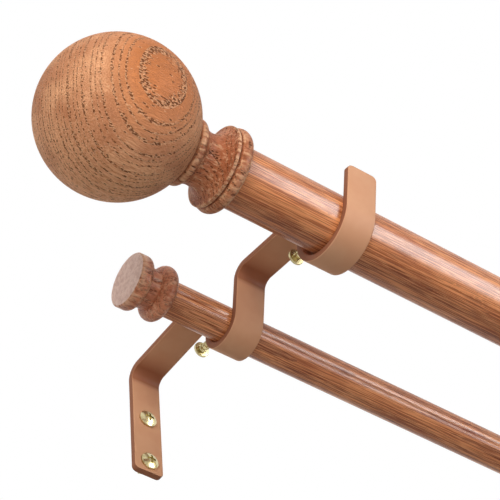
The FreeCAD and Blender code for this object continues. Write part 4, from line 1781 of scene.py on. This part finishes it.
    def build(self, shop: FinishShop, works: Workshop) -> bpy.types.Object:
        """Make and dress the bracket.

        Args:
            shop: makes the finish.
            works: makes the mesh.

        Returns:
            The piece.
        """
        node = f"{self.side.word}_bracket"
        name = f"{node}_strip"
        points, facings, pulls = self.path()
        mesh = line_mesh(name, points, self.holes(), facings, inset=self.insets(points), pull=pulls)
        piece = works.make(name, works.strip, mesh, {
            "Width": self.width * MM, "Thickness": self.thickness * MM, "Edge Round": self.edge_round * MM,
            "Finish": STRIP_PAINT.material(shop, f"{node}_paint")})
        settle(piece, STRIP_PAINT.slot, node)
        return piece


@dataclass
class PanScrews:
    """Pan-head brass screws of one kind, all in one piece."""

    name: str
    nodes: tuple[str, ...]
    marks: tuple[Mark, ...]
    length: float
    head_diameter: float
    pointed: bool
    pitch: float = 0.7
    core: float = 1.68
    crest: float = 0.3
    head_height: float = 2.7
    head_rim: float = 1.1
    recess_length: float = 4.6
    recess_width: float = 1.1
    recess_depth: float = 1.5
    point: float = 2.0
    point_core: float = 0.25
    blunt_tip: float = 0.8
    blunt_core: float = 1.5
    shank_length: float = 3.2
    shank_radius: float = 2.2
    thread_start: float = 0.5
    thread_gap: float = 0.2

    HEAD_SOFT = 0.3
    RIM_SOFT = 0.35
    SHANK_SOFT = 0.15
    TIP_SOFT = 0.2

    def outline(self) -> list[Station]:
        """Draw the screw's half outline.

        Returns:
            Its points, from its tip to the top of its head.
        """
        head, crown = self.head_diameter / 2, self.head_height - self.head_rim
        dome = (head ** 2 + crown ** 2) / (2 * crown)
        line = Outline().to(0, 0)
        if self.pointed:
            start = self.length - self.shank_length
            line.to(self.point, self.core).to(start, self.core).to(start, self.shank_radius, self.SHANK_SOFT)
            line.to(self.length, self.shank_radius)
        else:
            line.to(0, SCREW_TIP_RADIUS).to(self.blunt_tip, self.core, self.TIP_SOFT)
            line.to(self.length, self.core)
        line.to(self.length, head, self.HEAD_SOFT).to(self.length + self.head_rim, head, self.RIM_SOFT)
        line.bow(dome, True, self.length + self.head_height, 0)
        return line.eased()

    def build(self, shop: FinishShop, works: Workshop) -> bpy.types.Object:
        """Make and dress the screws.

        Args:
            shop: makes the finish.
            works: makes the mesh.

        Returns:
            The piece.
        """
        end = self.length - (self.shank_length if self.pointed else 0.0) - self.thread_gap
        lengths = {
            "Head Top": self.length + self.head_height, "Recess Length": self.recess_length,
            "Recess Width": self.recess_width, "Recess Depth": self.recess_depth, "Thread Core": self.core,
            "Thread Height": self.crest, "Thread Start": self.thread_start, "Thread End": end,
            "Start Core": self.point_core if self.pointed else self.blunt_core,
        }
        inputs: dict[str, object] = {label: length * MM for label, length in lengths.items()}
        inputs["Thread Turns"] = (end - self.thread_start) / self.pitch
        inputs["Finish"] = SCREW_BRASS.material(shop, f"{self.name}_brass")
        mesh = outline_mesh(self.name, self.outline(), self.marks)
        piece = works.make(self.name, works.screws, mesh, inputs)
        settle(piece, SCREW_BRASS.slot, *self.nodes)
        return piece


@dataclass
class Fixings:
    """Every screw that shows, and the hidden dowel screws."""

    wall_length: float = 9.5
    wall_head: float = 9.2
    wall_pitch: float = 1.4
    lock_head: float = 7.7

    def wall_screws(self) -> PanScrews:
        """Place the four screws that hold the brackets to the wall.

        Returns:
            The screws, not yet made.
        """
        nodes, marks = [], []
        for side in Side:
            for level, sign in (("upper", 1), ("lower", -1)):
                nodes.append(f"{side.word}_{level}_wall_screw")
                place = Vector((side.value * BRACKET_SPACING / 2, self.wall_length - STRIP_THICKNESS,
                                sign * WALL_SCREW_SPACING / 2))
                marks.append(Mark(place * MM, Vector((0.0, -1.0, 0.0))))
        return PanScrews("wall_screws", tuple(nodes), tuple(marks), self.wall_length, self.wall_head,
                         pointed=True, pitch=self.wall_pitch)

    def lock_screws(self, cradle: Cradle) -> PanScrews:
        """Place the screws that hold one of the poles in both brackets.

        Args:
            cradle: where the pole lies.

        Returns:
            The screws, not yet made.
        """
        nodes = tuple(f"{side.word}_{cradle.rank.value}_lock_screw" for side in Side)
        marks = tuple(Mark(cradle.tip(side.value * BRACKET_SPACING / 2 * MM), cradle.aim()) for side in Side)
        name = f"{cradle.rank.value}_lock_screws"
        return PanScrews(name, nodes, marks, cradle.screw_length, self.lock_head, pointed=False)

    def dress_dowels(self, shop: FinishShop, nodes: dict[str, bpy.types.Object]) -> None:
        """Give the hidden dowel screws, which stay as packed, their steel.

        Args:
            shop: makes the finish.
            nodes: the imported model's objects by name.
        """
        steel = DOWEL_STEEL.material(shop, "dowel_steel")
        for side in Side:
            for rank in Rank:
                node = nodes[f"{side.word}_{rank.value}_dowel_screw"]
                node.data.materials.clear()
                node.data.materials.append(steel)
                LOG.info("%s: keeps its solid", node.name)


# Studio.


@dataclass(frozen=True)
class Softbox:
    """A soft rectangular lamp that faces the poles. Metres, and a radiance where 1 is white."""

    name: str
    towards: Triple
    distance: float
    width: float
    height: float
    radiance: float
    lights_gloss: bool = True
    lights_matt: bool = True

    AIM = (0.0, -0.1, 0.0)

    def hang(self) -> None:
        """Hang the lamp in the scene."""
        data = bpy.data.lights.new(self.name, "AREA")
        data.shape = "RECTANGLE"
        data.size = self.width
        data.size_y = self.height
        data.energy = self.radiance * math.pi * self.width * self.height
        lamp = bpy.data.objects.new(self.name, data)
        towards = Vector(self.towards).normalized()
        lamp.location = Vector(self.AIM) + towards * self.distance
        lamp.rotation_euler = towards.to_track_quat("Z", "Y").to_euler()
        lamp.visible_glossy = self.lights_gloss
        lamp.visible_diffuse = self.lights_matt
        bpy.context.scene.collection.objects.link(lamp)


SOFTBOXES = (
    Softbox("key", (-0.54, -0.82, 0.03), 2.6, 3.4, 2.5, 3.45, lights_gloss=False),
    Softbox("sheen", (0.41, -0.91, 0.02), 1.69, 0.85, 1.3, 18.5, lights_matt=False),
    Softbox("fill", (-0.65, 0.70, 0.15), 1.2, 1.4, 1.4, 0.9, lights_gloss=False),
)


@dataclass
class Studio:
    """Camera, lamps, world and floor. Metres and degrees."""

    azimuth: float = -39.91
    elevation: float = -48.26
    roll: float = -5.76
    eye: Triple = (-0.66709, -0.58976, -0.67802)
    lens: float = 151.2
    sensor: float = 36.0
    clip: tuple[float, float] = (0.05, 50.0)
    surround: float = 0.16
    floor_height: float = -2.2
    floor_reach: float = 12.0
    floor_tone: Colour = tone(232, 230, 227)
    floor_roughness: float = 0.9
    floor_glow: float = 0.7

    def camera(self) -> None:
        """Put the camera where the photograph was taken from."""
        a, e, r = (math.radians(angle) for angle in (self.azimuth, self.elevation, self.roll))
        back = Vector((math.sin(a) * math.cos(e), -math.cos(a) * math.cos(e), math.sin(e)))
        level = Vector((math.cos(a), math.sin(a), 0.0))
        up = back.cross(level)
        right = level * math.cos(r) + up * math.sin(r)
        top = up * math.cos(r) - level * math.sin(r)
        data = bpy.data.cameras.new("camera")
        data.lens = self.lens
        data.sensor_width = self.sensor
        data.clip_start, data.clip_end = self.clip
        camera = bpy.data.objects.new("camera", data)
        turn = Matrix((right, top, back)).transposed().to_4x4()
        camera.matrix_world = Matrix.Translation(self.eye) @ turn
        bpy.context.scene.collection.objects.link(camera)
        bpy.context.scene.camera = camera

    @staticmethod
    def seen(wire: Wiring) -> Socket:
        """Tell where a material or the world is looked at.

        Args:
            wire: wiring of the material or the world.

        Returns:
            1 for the camera and for gloss, and 0 for plain light.
        """
        ray = wire.add("ShaderNodeLightPath").outputs
        mirrored = wire.math("MAXIMUM", ray["Is Glossy Ray"], ray["Is Transmission Ray"])
        return wire.math("MAXIMUM", ray["Is Camera Ray"], mirrored)

    def world(self) -> None:
        """Hang a white surround for the camera and for gloss, and a softer one for light."""
        world = bpy.data.worlds.new("surround")
        bpy.context.scene.world = world
        world.use_nodes = True
        world.node_tree.nodes.clear()
        wire = Wiring(world.node_tree)
        feeds = {"Value": self.seen(wire), "To Min": self.surround, "To Max": 1.0}
        level = wire.out("ShaderNodeMapRange", feeds)
        glow = wire.out("ShaderNodeBackground", {"Color": (1.0, 1.0, 1.0, 1.0), "Strength": level})
        wire.add("ShaderNodeOutputWorld", {"Surface": glow})

    def floor(self) -> None:
        """Lay a plain pale floor, well below the wall fixing, that can't be seen from below."""
        reach = self.floor_reach
        mesh = bpy.data.meshes.new("floor")
        corners = [(-reach, -reach), (reach, -reach), (reach, reach), (-reach, reach)]
        mesh.from_pydata([(x, y, self.floor_height) for x, y in corners], [], [(0, 1, 2, 3)])
        floor = bpy.data.objects.new("floor", mesh)
        bpy.context.scene.collection.objects.link(floor)
        material = bpy.data.materials.new("floor_pale")
        material.use_nodes = True
        wire = Wiring(material.node_tree)
        under = wire.add("ShaderNodeNewGeometry").outputs["Backfacing"]
        wire.connect(material.node_tree.nodes["Principled BSDF"], {
            "Base Color": self.floor_tone, "Roughness": self.floor_roughness,
            "Emission Color": self.floor_tone,
            "Emission Strength": wire.times(self.seen(wire), self.floor_glow),
            "Alpha": wire.math("SUBTRACT", 1.0, under)})
        mesh.materials.append(material)

    def build(self) -> None:
        """Set up the whole studio."""
        self.camera()
        for softbox in SOFTBOXES:
            softbox.hang()
        self.world()
        self.floor()
        bpy.context.scene.view_settings.view_transform = "Standard"


@dataclass
class DoubleCurtainPole:
    """The whole set: two poles, four turned ends, two brackets and their screws."""

    front: Pole = field(default_factory=lambda: Pole(FRONT_CRADLE, overhang=58.0, bore=6.2, bore_depth=23.0))
    back: Pole = field(default_factory=lambda: Pole(BACK_CRADLE, overhang=38.0, bore=4.2, bore_depth=13.0))

    def build(self, nodes: dict[str, bpy.types.Object]) -> None:
        """Make every piece and dress it.

        Args:
            nodes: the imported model's objects by name.
        """
        shop, works, fixings = FinishShop(), Workshop(), Fixings()
        for pole in (self.front, self.back):
            pole.build(shop, works)
        for side in Side:
            BallFinial(side, self.front).build(shop, works)
            EndCap(side, self.back).build(shop, works)
            StripBracket(side, self.back.cradle, self.front.cradle).build(shop, works)
        fixings.wall_screws().build(shop, works)
        for pole in (self.back, self.front):
            fixings.lock_screws(pole.cradle).build(shop, works)
        fixings.dress_dowels(shop, nodes)


def main() -> None:
    """Load the frame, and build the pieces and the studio."""
    logging.basicConfig(level=logging.INFO, format="%(message)s")
    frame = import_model()
    DoubleCurtainPole().build(frame["nodes"])
    Studio().build()


if __name__ == "__main__":
    main()
